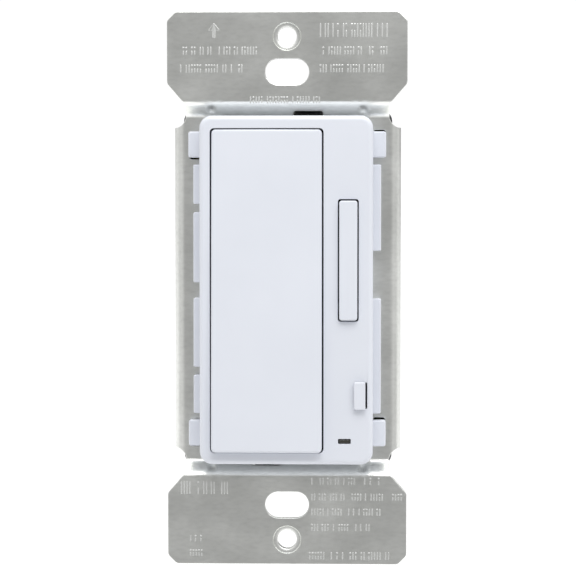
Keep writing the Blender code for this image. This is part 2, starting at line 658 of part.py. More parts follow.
def make_frame():
    frame = frame_shell()
    join(frame, side_rail(-1, RAIL_NOTCHES_LEFT), side_rail(1, RAIL_NOTCHES_RIGHT))
    for side in (1, -1):
        join(frame, snap_tab(side, 1), snap_tab(side, -1))
        join(frame, hinge_arm(PADDLE_X + side * HINGE_ARM_SPREAD))
    bar_left = BAR_X - BAR_WINDOW_WIDTH / 2
    bar_right = BAR_X + BAR_WINDOW_WIDTH / 2
    join(frame, bar_bearing(bar_left - 1.7 * MM, bar_left - 0.3 * MM))
    join(frame, bar_bearing(bar_right + 0.3 * MM, HALF_FACE - SIDE_WALL / 2))
    cut(frame, window(rounded(PADDLE_LEFT, PADDLE_RIGHT, PADDLE_BOTTOM, PADDLE_TOP, PADDLE_CORNER, 3)))
    cut(frame, window(rounded(bar_left, bar_right, *around(BAR_Z, BAR_WINDOW_HEIGHT / 2), BAR_CORNER, 2)))
    cut(frame, window(rectangle(TAB_X - TAB_WINDOW_WIDTH / 2, TAB_RIGHT,
                                *around(TAB_Z, TAB_WINDOW_HEIGHT / 2))))
    cut(frame, window(rectangle(*around(INDICATOR_X, INDICATOR_WIDTH / 2),
                                *around(INDICATOR_Z, INDICATOR_HEIGHT / 2))))


# --- paddle -----------------------------------------------------------------------------------------


def paddle_lug(x):
    """A lug under the paddle that holds the hinge pin."""
    ys = (HINGE_Y - HINGE_LUG - 0.4 * MM, HINGE_Y + HINGE_LUG)
    lug = box("lug", around(x, 0.7 * MM), ys, around(HINGE_Z, HINGE_LUG))
    cut(lug, rod("bore", HINGE_PIN_RADIUS + GAP, "X", (HINGE_Y, HINGE_Z), x - MM, x + MM))
    return lug


def paddle_hook(x, skirt_back):
    """A hook at the paddle's lower end that stops it behind the frame's front wall."""
    bottom = PADDLE_BOTTOM + FIT
    swing = (HINGE_Z - bottom) * math.sin(PADDLE_PRESS)
    front = WALL_BACK + GAP + swing
    hook_end = -(HALF_TALL - SIDE_WALL) + RUN
    return box("hook", around(x, 1.5 * MM), (front, max(skirt_back, front + 1.2 * MM)),
               (hook_end, bottom + PADDLE_SKIRT_WALL))


def make_paddle():
    """The paddle is drawn flush with the frame, then turned out about its hinge to where it rests."""
    left, right = PADDLE_LEFT + RUN, PADDLE_RIGHT - RUN
    bottom, top = PADDLE_BOTTOM + FIT, PADDLE_TOP - RUN
    front = FACE_FRONT - PADDLE_PROUD
    under = front + PADDLE_WALL
    skirt_back = front + PADDLE_SKIRT
    corner = PADDLE_CORNER - PADDLE_EDGE
    eased = rounded(left + PADDLE_EDGE, right - PADDLE_EDGE, bottom + PADDLE_EDGE, top - PADDLE_EDGE,
                    corner, 3)
    wide = rounded(left, right, bottom, top, corner, 3)
    paddle = loft("paddle", "Y", [(eased, front), (wide, front + PADDLE_EDGE), (wide, skirt_back)],
                  WHITE_PLASTIC)
    wall = PADDLE_SKIRT_WALL
    hollow_zs = (bottom + wall, top - wall)
    cut(paddle, box("hollow", (left + wall, right - wall), (under, skirt_back + MM), hollow_zs))
    for share in (0.3, 0.5, 0.7):
        rib_z = bottom + share * (SPRING_Z - bottom) + (1 - share) * 6 * MM + share * (HINGE_Z - SPRING_Z)
        join(paddle, box("rib", (left + wall / 2, right - wall / 2), (under - 0.3 * MM, under + 1.2 * MM),
                         around(rib_z, 0.4 * MM)))
    for side in (1, -1):
        join(paddle, paddle_lug(PADDLE_X + side * HINGE_LUG_SPREAD))
        join(paddle, paddle_hook(PADDLE_X + side * PADDLE_HOOK_SPREAD, skirt_back))
        arm_x = PADDLE_X + side * HINGE_ARM_SPREAD
        cut(paddle, box("slot", around(arm_x, 0.8 * MM + RUN), (HINGE_Y - HINGE_LUG - RUN, skirt_back + MM),
                        (HINGE_Z, top + MM)))
    post_end = POST_END + PADDLE_TRAVEL
    post_z = SWITCHES[0][2]
    join(paddle, rod("post", POST_RADIUS, "Y", (PADDLE_X, post_z), under - 0.3 * MM, post_end, sides=16))
    join(paddle, rod("seat", SPRING_RADIUS - SPRING_WIRE - 2 * RUN, "Y", (PADDLE_X, SPRING_Z),
                     under - 0.3 * MM, under + 1.3 * MM, sides=16))
    set_pivot(paddle, (PADDLE_X, HINGE_Y, HINGE_Z), -PADDLE_PRESS)


def make_hinge_pin():
    reach = HINGE_LUG_SPREAD + MM
    rod("paddle_hinge_pin", HINGE_PIN_RADIUS, "X", (HINGE_Y, HINGE_Z), PADDLE_X - reach, PADDLE_X + reach,
        STEEL, 12)


def make_paddle_spring():
    """The coil between the carrier and the paddle's underside, at the length that it rests at."""
    swing = (HINGE_Z - SPRING_Z) * math.sin(PADDLE_PRESS)
    front = FACE_FRONT - PADDLE_PROUD + PADDLE_WALL - swing + GAP + SPRING_WIRE + 0.1 * MM
    back = CARRIER_FRONT - GAP - SPRING_WIRE
    steps = 12 * SPRING_TURNS
    points = []
    for i in range(steps + 1):
        angle = 2 * math.pi * SPRING_TURNS * i / steps
        points.append((PADDLE_X + SPRING_RADIUS * math.cos(angle), back + (front - back) * i / steps,
                       SPRING_Z + SPRING_RADIUS * math.sin(angle)))
    wire("paddle_return_spring", points, SPRING_WIRE, STEEL)


# --- dimming bar ------------------------------------------------------------------------------------


def make_bar():
    half_wide = BAR_WINDOW_WIDTH / 2 - RUN
    half_tall = BAR_WINDOW_HEIGHT / 2 - RUN
    front = FACE_FRONT - BAR_PROUD
    back = BAR_PIVOT_Y - 0.4 * MM
    wide = rounded(*around(BAR_X, half_wide), *around(BAR_Z, half_tall), BAR_CORNER, 2)
    ease = 0.3 * MM
    eased = rounded(*around(BAR_X, half_wide - ease), *around(BAR_Z, half_tall - ease), BAR_CORNER - ease, 2)
    bar = loft("dimming_bar", "Y", [(eased, front), (wide, front + ease), (wide, back)], WHITE_PLASTIC)
    boss_half = half_wide - 0.2 * MM
    join(bar, box("boss", around(BAR_X, boss_half), (back - 0.5 * MM, BAR_PIVOT_Y + BAR_SHAFT_RADIUS),
                  around(BAR_Z, 1.6 * MM)))
    left = BAR_X - BAR_WINDOW_WIDTH / 2 - 1.4 * MM
    right = HALF_FACE - SIDE_WALL - GAP
    join(bar, rod("shaft", BAR_SHAFT_RADIUS, "X", (BAR_PIVOT_Y, BAR_Z), left, right, sides=16))
    for side in (1, -1):
        join(bar, rod("post", POST_RADIUS, "Y", (BAR_X, BAR_Z + side * BAR_ARM), back - 0.5 * MM, POST_END,
                      sides=16))
    set_pivot(bar, (BAR_X, BAR_PIVOT_Y, BAR_Z))


# --- air-gap switch ---------------------------------------------------------------------------------


def stem_hole(clearance):
    """The outline of what the air-gap tab's stem passes through."""
    return rectangle(*around(stem_x(), 0.6 * MM + clearance), *around(TAB_Z, 1.7 * MM + clearance))


def stem_x():
    return TAB_X - TAB_NAIL_SLIT / 2 + RUN / 2


def make_air_gap_tab():
    left = TAB_X - TAB_WINDOW_WIDTH / 2 + RUN
    right = TAB_RIGHT - TAB_NAIL_SLIT
    front = FACE_FRONT - TAB_PROUD
    head = rounded(right - TAB_HEAD_WIDTH, right, *around(TAB_Z, TAB_HEAD_HEIGHT / 2), 0.3 * MM, 2)
    tab = prism("air_gap_tab", head, "Y", front, FACE_FRONT - GAP, WHITE_PLASTIC)
    join(tab, box("neck", (left, right), (front + 0.4 * MM, WALL_BACK),
                  around(TAB_Z, TAB_WINDOW_HEIGHT / 2 - RUN)))
    stem = prism("stem", stem_hole(0.0), "Y", WALL_BACK - 0.5 * MM, TAB_FOOT_FRONT + 0.5 * MM)
    foot = box("foot", around(stem_x(), TAB_FOOT_HALF_X), (TAB_FOOT_FRONT, TAB_FOOT_BACK),
               around(TAB_Z, TAB_FOOT_HALF_Z))
    join(tab, stem, foot)
    set_pivot(tab, (stem_x(), 0.0, TAB_Z))


def make_air_gap_bridge():
    front = TAB_FOOT_BACK + GAP
    bridge = box("air_gap_bridge", around(stem_x(), 1.2 * MM), (front, front + BRIDGE_THICKNESS),
                 around(TAB_Z, TAB_FOOT_HALF_Z), BRASS)
    for side in (1, -1):
        join(bridge, rod("rivet", CONTACT_RADIUS, "Y", (stem_x(), TAB_Z + side * CONTACT_SPREAD),
                         front + BRIDGE_THICKNESS / 2, front + BRIDGE_THICKNESS + 0.3 * MM, sides=10))


def make_air_gap_contacts():
    """Two fixed contacts on the board that the bridge joins until the tab is pulled."""
    tip = TAB_FOOT_BACK + 2 * GAP + BRIDGE_THICKNESS + 0.3 * MM
    for name, side in (("upper", 1), ("lower", -1)):
        z = TAB_Z + side * CONTACT_SPREAD
        contact = rod(f"air_gap_contact_{name}", CONTACT_RADIUS, "Y", (stem_x(), z), tip, tip + 0.6 * MM,
                      BRASS, 10)
        far = z + side * 2.2 * MM
        join(contact, box("arm", around(stem_x(), 0.7 * MM), (tip + 0.3 * MM, tip + 0.8 * MM),
                          sorted((z - side * 0.5 * MM, far))))
        join(contact, box("leg", around(stem_x(), 0.7 * MM), (tip + 0.3 * MM, BOARD_FRONT - GAP),
                          sorted((far - side * 0.6 * MM, far))))


# --- carrier, plungers and push switches ------------------------------------------------------------


def make_carrier():
    """The black moulding on the strap that guides the plungers, the air-gap stem and the light pipe."""
    half = HALF_FACE - SIDE_WALL - RUN
    tall = HALF_TALL - SIDE_WALL - RUN
    carrier = prism("actuator_carrier", rounded(-half, half, -tall, tall, FACE_CORNER - SIDE_WALL, 2), "Y",
                    CARRIER_FRONT, CARRIER_BACK, BLACK_PLASTIC)
    for _, x, z in SWITCHES:
        join(carrier, rod("sleeve", SLEEVE_RADIUS, "Y", (x, z), SLEEVE_FRONT, CARRIER_BACK - 0.2 * MM))
        cut(carrier, rod("bore", PLUNGER_RADIUS + RUN, "Y", (x, z), SLEEVE_FRONT - MM, CARRIER_BACK + MM,
                         sides=16))
    join(carrier, rod("spigot", SPRING_RADIUS - SPRING_WIRE - RUN, "Y", (PADDLE_X, SPRING_Z),
                      CARRIER_FRONT - 1.4 * MM, CARRIER_BACK - 0.2 * MM, sides=16))
    ys = (CARRIER_FRONT - MM, CARRIER_BACK + MM)
    cut(carrier, prism("slot", stem_hole(RUN), "Y", *ys))
    cut(carrier, rod("bore", PIPE_RADIUS + GAP, "Y", (INDICATOR_X, INDICATOR_Z), *ys, sides=16))


def make_plungers():
    """The pins that pass each push on to its switch."""
    end = BUTTON_FRONT - GAP
    for name, x, z in SWITCHES:
        profile = [
            (PLUNGER_HEAD_RADIUS, PLUNGER_FRONT),
            (PLUNGER_HEAD_RADIUS, PLUNGER_FRONT + PLUNGER_HEAD),
            (PLUNGER_RADIUS, PLUNGER_FRONT + PLUNGER_HEAD),
            (PLUNGER_RADIUS, end),
        ]
        turned(f"{name}_plunger", profile, "Y", (x, z), GREY_PLASTIC, 12)


def make_switches():
    """Each push switch is a square body with a sunk round button."""
    floor = SWITCH_FRONT + BUTTON_SUNK + PLUNGER_TRAVEL + GAP
    for name, x, z in SWITCHES:
        half = SWITCH_SIDE / 2
        body = prism(f"{name}_switch_body", rounded(*around(x, half), *around(z, half), 0.6 * MM, 2), "Y",
                     SWITCH_FRONT, BOARD_FRONT - GAP, BLACK_PLASTIC)
        cut(body, rod("well", BUTTON_RADIUS + RUN, "Y", (x, z), SWITCH_FRONT - MM, floor))
        rod(f"{name}_switch_button", BUTTON_RADIUS, "Y", (x, z), BUTTON_FRONT, SWITCH_FRONT + BUTTON_SUNK,
            GREY_PLASTIC, 12)


def make_indicator():
    """The lamp on the board and the clear pipe that carries its light to the face."""
    box("indicator_lamp", around(INDICATOR_X, 1.5 * MM), (BOARD_FRONT - GAP - MM, BOARD_FRONT - GAP),
        around(INDICATOR_Z, 0.8 * MM), FUSE_WHITE)
    pipe = rod("light_pipe", PIPE_RADIUS, "Y", (INDICATOR_X, INDICATOR_Z), WALL_BACK + GAP,
               BOARD_FRONT - 2 * GAP - MM, CLEAR_PLASTIC, 12)
    tip_ys = (FACE_FRONT + 0.1 * MM, WALL_BACK + MM)
    join(pipe, box("tip", around(INDICATOR_X, INDICATOR_WIDTH / 2 - FIT), tip_ys,
                   around(INDICATOR_Z, INDICATOR_HEIGHT / 2 - FIT)))


# --- rear housing -----------------------------------------------------------------------------------


def pocket_parts(side, z):
    """The walls round a terminal pocket, and the spaces cut for the pocket, its plate and its wires."""
    inner = POCKET_FLOOR - POCKET_WALL
    xs = sorted((side * inner, side * (HOUSING_HALF - HOUSING_WALL / 2)))
    walls = box("walls", xs, (POCKET_FRONT - POCKET_WALL, HOUSING_BACK - HOUSING_WALL / 2),
                around(z, POCKET_WIDTH / 2 + POCKET_WALL))
    spaces = [
        box("space", sorted((side * POCKET_FLOOR, side * (HOUSING_HALF + MM))), (POCKET_FRONT, POCKET_REAR),
            around(z, POCKET_WIDTH / 2)),
        box("slot",
            sorted((side * (POCKET_FLOOR - 0.1 * MM), side * (POCKET_FLOOR + PLATE_THICKNESS + 2 * GAP))),
            (POCKET_FRONT - POCKET_WALL - MM, POCKET_FRONT + MM), around(z, 1.8 * MM)),
        rod("bore", TERMINAL_SCREW_RADIUS + RUN, "X", (POCKET_MIDDLE, z),
            *sorted((side * (inner - MM), side * (POCKET_FLOOR + MM))), sides=16),
    ]
    wire_x = side * (POCKET_FLOOR + GAP + PLATE_THICKNESS + WIRE_HOLE_RADIUS)
    for offset in (-WIRE_HOLE_SPREAD, WIRE_HOLE_SPREAD):
        spaces.append(rod("wire", WIRE_HOLE_RADIUS, "Y", (wire_x, z + offset), POCKET_REAR - MM,
                          HOUSING_BACK + MM, sides=16))
    return walls, spaces


def make_housing():
    half, tall, edge = HOUSING_HALF, HOUSING_TALL, HOUSING_EDGE
    wide = rounded(-half, half, -tall, tall, HOUSING_CORNER, 6)
    eased = rounded(-half + edge, half - edge, -tall + edge, tall - edge, HOUSING_CORNER - 0.6 * edge, 6)
    lip = 0.5 * edge
    narrow = rounded(-half + lip, half - lip, -tall + lip, tall - lip, HOUSING_CORNER - 0.6 * lip, 6)
    sections = [(narrow, HOUSING_FRONT), (wide, HOUSING_FRONT + edge), (wide, HOUSING_BACK - edge),
                (eased, HOUSING_BACK)]
    housing = loft("rear_housing", "Y", sections, BLACK_PLASTIC)
    cavity = rounded(-INNER_HALF, INNER_HALF, -INNER_TALL, INNER_TALL, 0.8 * MM, 2)
    cut(housing, prism("cavity", cavity, "Y", HOUSING_FRONT - MM, HOUSING_BACK - HOUSING_WALL))
    for end in (1, -1):
        ledge_z = sorted((end * (INNER_TALL - 1.4 * MM), end * (INNER_TALL + HOUSING_WALL / 2)))
        for x in (-8.0 * MM, 8.0 * MM):
            join(housing, box("ledge", around(x, 1.5 * MM),
                              (BOARD_BACK + GAP, HOUSING_BACK - HOUSING_WALL / 2), ledge_z))
    for _, side, z in TERMINALS:
        walls, spaces = pocket_parts(side, z)
        join(housing, walls)
        cut(housing, *spaces)
    for _, x, z in HOUSING_SCREWS:
        centre = (x, z)
        ys = (HOUSING_FRONT, HOUSING_BACK - HOUSING_WALL / 2)
        join(housing, rod("boss", BOSS_RADIUS, "Y", centre, *ys))
        join(housing, rod("foot", SCREW_HEAD_RADIUS + GAP + SINK_WALL, "Y", centre,
                          HOUSING_BACK - SCREW_SINK - SINK_FLOOR, ys[1]))
        web_x = sorted((x, math.copysign(HOUSING_HALF - HOUSING_WALL / 2, x)))
        join(housing, box("web", web_x, ys, around(z, 1.2 * MM)))
        cut(housing, rod("bore", SCREW_RADIUS + GAP, "Y", centre, HOUSING_FRONT - MM, HOUSING_BACK + MM,
                         sides=16))
        cut(housing, rod("sink", SCREW_HEAD_RADIUS + GAP, "Y", centre, HOUSING_BACK - SCREW_SINK,
                         HOUSING_BACK + MM))


def cross_drive(centre, top, size, axis):
    """Two crossed slots to cut in a screw's head; size holds the half length and the depth."""
    half, depth = size
    lows = sorted((top - depth, top + depth))
    slots = []
    for wide, narrow in ((half, 0.35 * MM), (0.35 * MM, half)):
        outline = rectangle(*around(centre[0], wide), *around(centre[1], narrow))
        slots.append(prism("slot", outline, axis, *lows))
    return slots


def screw(name, axis, centre, tip, seat, radius, head, finish):
    """A pan-head screw from its tip to the seat of its head; head holds radius and height."""
    head_radius, height = head
    direction = 1 if seat > tip else -1
    top = seat + direction * height
    profile = [
        (0.6 * radius, tip),
        (radius, tip + direction * 0.5 * MM),
        (radius, seat),
        (head_radius, seat),
        (head_radius, top - direction * 0.3 * height),
        (0.75 * head_radius, top),
    ]
    made = turned(name, profile, axis, centre, finish, 24)
    cut(made, *cross_drive(centre, top, (0.55 * head_radius, 0.45 * height), axis))


def make_housing_screws():
    seat = HOUSING_BACK - SCREW_SINK + GAP
    tip = STRAP_FRONT + 0.2 * MM
    for name, x, z in HOUSING_SCREWS:
        screw(f"housing_screw_{name}", "Y", (x, z), tip, seat, SCREW_RADIUS,
              (SCREW_HEAD_RADIUS, SCREW_HEAD), STEEL)


def make_terminals():
    """Each terminal is a plate with a leg to the board, a wire clamp and a screw."""
    for name, side, z in TERMINALS:
        low = POCKET_FLOOR + GAP
        high = low + PLATE_THICKNESS
        xs = sorted((side * low, side * high))
        ys = (POCKET_FRONT + GAP, POCKET_REAR - GAP)
        plate = box(f"{name}_terminal_plate", xs, ys, around(z, POCKET_WIDTH / 2 - RUN), BRASS)
        join(plate, box("leg", xs, (BOARD_BACK + GAP, ys[0] + MM), around(z, 1.5 * MM)))
        clamp_low = high + GAP
        clamp_high = clamp_low + CLAMP_THICKNESS
        clamp = box(f"{name}_terminal_clamp", sorted((side * clamp_low, side * clamp_high)),
                    around(POCKET_MIDDLE, 3.6 * MM), around(z, 3.6 * MM), STEEL)
        bore = sorted((side * (low - MM), side * (clamp_high + MM)))
        for piece in (plate, clamp):
            cut(piece, rod("bore", TERMINAL_SCREW_RADIUS + GAP, "X", (POCKET_MIDDLE, z), *bore, sides=16))
        seat = clamp_high + GAP
        screw(f"{name}_terminal_screw", "X", (POCKET_MIDDLE, z), side * (low - TERMINAL_SHANK), side * seat,
              TERMINAL_SCREW_RADIUS, (TERMINAL_HEAD_RADIUS, TERMINAL_HEAD), BRASS)


def ground_screw_centre():
    """Where the ground screw stands in the strap's lower lug, as (x, y)."""
    return (-LUG_OFFSET, STRAP_BACK + LUG_DEPTH - 4.0 * MM)


def make_ground_screw():
    face = -(HOUSING_TALL + HOUSING_SIDE_GAP)
    screw("ground_screw", "Z", ground_screw_centre(), face + 0.2 * MM, face - STRAP_THICKNESS - GAP,
          SCREW_RADIUS, (3.2 * MM, 1.8 * MM), GREEN_STEEL)


# --- electronics ------------------------------------------------------------------------------------


def make_sheet():
    """The insulating sheet behind the strap, cut away round what passes it."""
    half, tall = BOARD_HALF, BOARD_TALL
    low = STRAP_BACK + GAP
    high = low + SHEET_THICKNESS
    outline = rounded(-half, half, -tall, tall, 0.8 * MM, 2)
    sheet = prism("insulating_sheet", outline, "Y", low, high, FISH_PAPER)
    ys = (low - MM, high + MM)
    for _, x, z in SWITCHES:
        cut(sheet, rod("hole", PLUNGER_RADIUS + 2 * RUN, "Y", (x, z), *ys, sides=16))
    for _, x in TRANSISTORS:
        reach = TRANSISTOR_WIDTH / 2 + GAP
        cut(sheet, box("window", around(x, reach), ys,
                       (TRANSISTOR_TOP - TRANSISTOR_TAB - TRANSISTOR_BODY - GAP, TRANSISTOR_TOP + GAP)))
    foot_zs = around(TAB_Z, TAB_FOOT_HALF_Z + RUN)
    cut(sheet, box("window", around(stem_x(), TAB_FOOT_HALF_X + RUN), ys, foot_zs))
    cut(sheet, rod("hole", PIPE_RADIUS + RUN, "Y", (INDICATOR_X, INDICATOR_Z), *ys, sides=16))
    for _, x, z in HOUSING_SCREWS:
        cut(sheet, boss_notch(x, z, ys))
    for side in (1, -1):
        for end in (1, -1):
            x = side * (HALF_FACE + TAB_REACH / 2)
            reach = TAB_REACH / 2 + SNAP_HOOK
            cut(sheet, box("notch", sorted((x - side * reach, side * (half + MM))), ys,
                           around(snap_hole_z(end), SNAP_TAB_LENGTH / 2)))


def boss_notch(x, z, ys):
    """What a flat piece inside the housing leaves free for a screw boss."""
    inner = x - math.copysign(BOSS_RADIUS + RUN, x)
    outer = math.copysign(INNER_HALF + MM, x)
    return box("notch", sorted((inner, outer)), ys, around(z, BOSS_RADIUS + RUN))


def make_board():
    board = box("circuit_board", (-BOARD_HALF, BOARD_HALF), (BOARD_FRONT, BOARD_BACK),
                (-BOARD_TALL, BOARD_TALL), BOARD_GREEN)
    ys = (BOARD_FRONT - MM, BOARD_BACK + MM)
    for _, x, z in HOUSING_SCREWS:
        cut(board, boss_notch(x, z, ys))


def make_transistors():
    """Two power transistors held flat to the strap, which cools them."""
    pad_front = STRAP_BACK + GAP
    tab_front = pad_front + SHEET_THICKNESS + GAP
    tab_back = tab_front + TRANSISTOR_TAB_THICKNESS
    body_back = tab_back + GAP + TRANSISTOR_THICKNESS
    body_top = TRANSISTOR_TOP - TRANSISTOR_TAB
    body_bottom = body_top - TRANSISTOR_BODY
    hole_z = TRANSISTOR_TOP - TRANSISTOR_TAB / 2
    for name, x in TRANSISTORS:
        xs = around(x, TRANSISTOR_WIDTH / 2)
        pad = box(f"{name}_thermal_pad", xs, (pad_front, pad_front + SHEET_THICKNESS),
                  (body_bottom, TRANSISTOR_TOP), SILICONE)
        tab = box(f"{name}_transistor_tab", xs, (tab_front, tab_back),
                  (body_bottom + MM, TRANSISTOR_TOP), STEEL)
        for piece in (pad, tab):
            cut(piece, rod("hole", SCREW_RADIUS + GAP, "Y", (x, hole_z), pad_front - MM, tab_back + MM,
                           sides=16))
        body = box(f"{name}_transistor", xs, (tab_back + GAP, body_back), (body_bottom, body_top),
                   BLACK_PLASTIC)
        lead_y = around((tab_back + GAP + body_back) / 2, LEAD_SIDE / 2)
        lead_z = body_bottom - 2.0 * MM
        for step in (-1, 0, 1):
            lead_x = around(x + step * LEAD_PITCH, LEAD_SIDE / 2)
            join(body, box("lead", lead_x, lead_y, (lead_z, body_bottom + 0.5 * MM)))
            join(body, box("lead", lead_x, (lead_y[0], BOARD_FRONT - GAP), (lead_z, lead_z + LEAD_SIDE)))
        screw(f"{name}_transistor_screw", "Y", (x, hole_z), STRAP_FRONT + 0.2 * MM, tab_back + GAP,
              SCREW_RADIUS, (SCREW_HEAD_RADIUS, SCREW_HEAD), STEEL)


def make_control_chip():
    width, thickness, height = CHIP_SIZE
    top = TRANSISTOR_TOP - TRANSISTOR_TAB - TRANSISTOR_BODY - 2.0 * MM - COMPONENT_GAP
    x = TRANSISTOR_RIGHT - TRANSISTOR_PITCH / 2
    chip = box("control_chip", around(x, width / 2),
               (BOARD_FRONT - GAP - thickness, BOARD_FRONT - GAP - 0.2 * MM),
               (top - height, top - 1.5 * MM), BLACK_PLASTIC)
    pins = 7
    for i in range(pins):
        pin_x = x + (i - (pins - 1) / 2) * 1.6 * MM
        join(chip, box("pin", around(pin_x, 0.25 * MM), (BOARD_FRONT - GAP - 0.9 * MM, BOARD_FRONT - GAP),
                       (top - height - MM, top - 0.5 * MM)))


def make_choke(x, z):
    """A ring core and its winding, flat on the board, which hold back radio noise."""
    clear = GAP + 2 * CHOKE_WIRE
    front = BOARD_BACK + GAP + clear
    core = turned("choke_core", [(CHOKE_OUTER, front), (CHOKE_OUTER, front + CHOKE_HEIGHT)], "Y", (x, z),
                  FERRITE, 32)
    cut(core, rod("bore", CHOKE_INNER, "Y", (x, z), front - MM, front + CHOKE_HEIGHT + MM, sides=24))
    middle_r = (CHOKE_INNER + CHOKE_OUTER) / 2
    half_r = (CHOKE_OUTER - CHOKE_INNER) / 2 + GAP + CHOKE_WIRE
    middle_y = front + CHOKE_HEIGHT / 2
    half_y = CHOKE_HEIGHT / 2 + GAP + CHOKE_WIRE
    ease = 0.25 * MM
    loop = [(half_r - ease, half_y), (half_r, half_y - ease),
            (half_r, ease - half_y), (half_r - ease, -half_y),
            (ease - half_r, -half_y), (-half_r, ease - half_y),
            (-half_r, half_y - ease), (ease - half_r, half_y)]
    points = []
    steps = CHOKE_TURNS * len(loop)
    for i in range(steps):
        across, along = loop[i % len(loop)]
        angle = math.radians(330.0) * i / steps
        points.append((x + (middle_r + across) * math.cos(angle), middle_y + along,
                       z + (middle_r + across) * math.sin(angle)))
    wire("choke_winding", points, CHOKE_WIRE, COPPER)


def make_power_parts():
    """The tall parts behind the board, placed one below another from the housing's top."""
    outer = CHOKE_OUTER + GAP + 2 * CHOKE_WIRE
    z = INNER_TALL - COMPONENT_GAP - 1.4 * MM - outer
    make_choke(0.0, z)
    front = BOARD_BACK + GAP
    width, depth, height = FILM_CAPACITOR
    z -= outer + COMPONENT_GAP + height / 2
    prism("film_capacitor", rounded(-width / 2, width / 2, *around(z, height / 2), 0.6 * MM, 2), "Y", front,
          front + depth, FILM_YELLOW)
    z -= height / 2 + COMPONENT_GAP + VARISTOR_RADIUS
    can_x = -CAN_RADIUS - COMPONENT_GAP
    turned("supply_capacitor", [(CAN_RADIUS, front), (CAN_RADIUS, front + CAN_HEIGHT - 0.5 * MM),
                                (CAN_RADIUS - 0.5 * MM, front + CAN_HEIGHT)], "Y", (can_x, z), CAN_SLEEVE, 20)
    disc_y = front + 1.0 * MM + VARISTOR_RADIUS
    disc_x = VARISTOR_RADIUS + COMPONENT_GAP
    disc = rod("varistor", VARISTOR_RADIUS, "Z", (disc_x, disc_y), *around(z, VARISTOR_THICKNESS / 2),
               VARISTOR_BLUE, 20)
    for side in (1, -1):
        join(disc, box("lead", around(disc_x + side * 2.5 * MM, LEAD_SIDE / 2), (front, disc_y),
                       around(z, LEAD_SIDE / 2)))
    z -= VARISTOR_RADIUS + COMPONENT_GAP + FUSE_RADIUS
    fuse_y = front + 0.5 * MM + FUSE_RADIUS
    fuse = rod("thermal_fuse", FUSE_RADIUS, "X", (fuse_y, z), -FUSE_LENGTH / 2, FUSE_LENGTH / 2,
               FUSE_WHITE, 14)
    for side in (1, -1):
        reach = side * (FUSE_LENGTH / 2 + 2.0 * MM)
        join(fuse, box("lead", sorted((side * (FUSE_LENGTH / 2 - 0.5 * MM), reach)),
                       around(fuse_y, LEAD_SIDE / 2), around(z, LEAD_SIDE / 2)))
        join(fuse, box("lead", sorted((reach, reach - side * LEAD_SIDE)), (front, fuse_y),
                       around(z, LEAD_SIDE / 2)))


# --- assembly ---------------------------------------------------------------------------------------


def clear_scene():
    for made in list(bpy.data.objects):
        bpy.data.objects.remove(made)


def shade_round_pieces():
    for made in bpy.data.objects:
        if made.type == "MESH":
            made.data.shade_smooth()
            made.data.set_sharp_from_angle(angle=math.radians(30))


def main():
    clear_scene()
    make_strap()
    make_frame()
    make_carrier()
    make_paddle()
    make_hinge_pin()
    make_paddle_spring()
    make_bar()
    make_air_gap_tab()
    make_air_gap_bridge()
    make_air_gap_contacts()
    make_plungers()
    make_switches()
    make_indicator()
    make_housing()
    make_housing_screws()
    make_terminals()
    make_ground_screw()
    make_sheet()
    make_board()
    make_transistors()
    make_control_chip()
    make_power_parts()
    shade_round_pieces()


main()
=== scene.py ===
"""Looks of the wall dimmer: fine surfaces, finishes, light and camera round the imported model."""

import json
import logging
import math
from dataclasses import dataclass
from enum import Enum
from typing import Callable, Iterable, Sequence

import bmesh
import bpy
import numpy as np
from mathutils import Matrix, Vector, geometry


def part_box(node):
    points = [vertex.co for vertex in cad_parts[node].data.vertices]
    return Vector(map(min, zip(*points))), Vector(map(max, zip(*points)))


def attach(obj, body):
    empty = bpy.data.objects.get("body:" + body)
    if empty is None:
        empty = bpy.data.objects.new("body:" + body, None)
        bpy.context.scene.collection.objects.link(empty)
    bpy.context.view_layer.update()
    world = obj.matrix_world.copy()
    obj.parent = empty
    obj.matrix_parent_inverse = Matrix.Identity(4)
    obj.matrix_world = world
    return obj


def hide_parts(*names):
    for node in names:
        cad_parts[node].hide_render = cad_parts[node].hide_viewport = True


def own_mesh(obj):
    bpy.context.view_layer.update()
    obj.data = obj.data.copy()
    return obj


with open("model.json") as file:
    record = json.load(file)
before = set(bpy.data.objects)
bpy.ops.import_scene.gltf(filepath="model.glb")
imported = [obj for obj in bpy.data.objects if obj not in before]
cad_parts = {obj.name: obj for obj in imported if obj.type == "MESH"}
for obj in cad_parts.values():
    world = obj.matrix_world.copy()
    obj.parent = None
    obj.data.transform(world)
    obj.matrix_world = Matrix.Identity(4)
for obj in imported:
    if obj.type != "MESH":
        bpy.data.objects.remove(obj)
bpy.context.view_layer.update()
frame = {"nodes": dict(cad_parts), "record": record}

LOG = logging.getLogger("dimmer")
MM = 0.001

Array = np.ndarray
Place = Callable[[Array], Array]


# --- outlines, in millimetres -----------------------------------------------------------------------


def arc(centre: tuple[float, float], radius: float, start: float, end: float, steps: int) -> Array:
    """Points on a circle's arc, both ends among them.

    Args:
        centre: the circle's centre.
        radius: its radius.
        start: first angle in degrees, counted from +U towards +V.
        end: last angle in degrees.
        steps: number of equal steps between them.

    Returns:
        An array of points: centre plus radius times (cosine, sine) of each angle.
    """
    angle = np.radians(np.linspace(start, end, steps + 1))
    return np.stack((centre[0] + radius * np.cos(angle), centre[1] + radius * np.sin(angle)), axis=1)


def circle(centre: tuple[float, float], radius: float, steps: int = 48) -> Array:
    """A full circle as an open list of points, counter-clockwise."""
    return arc(centre, radius, 0.0, 360.0, steps)[:-1]


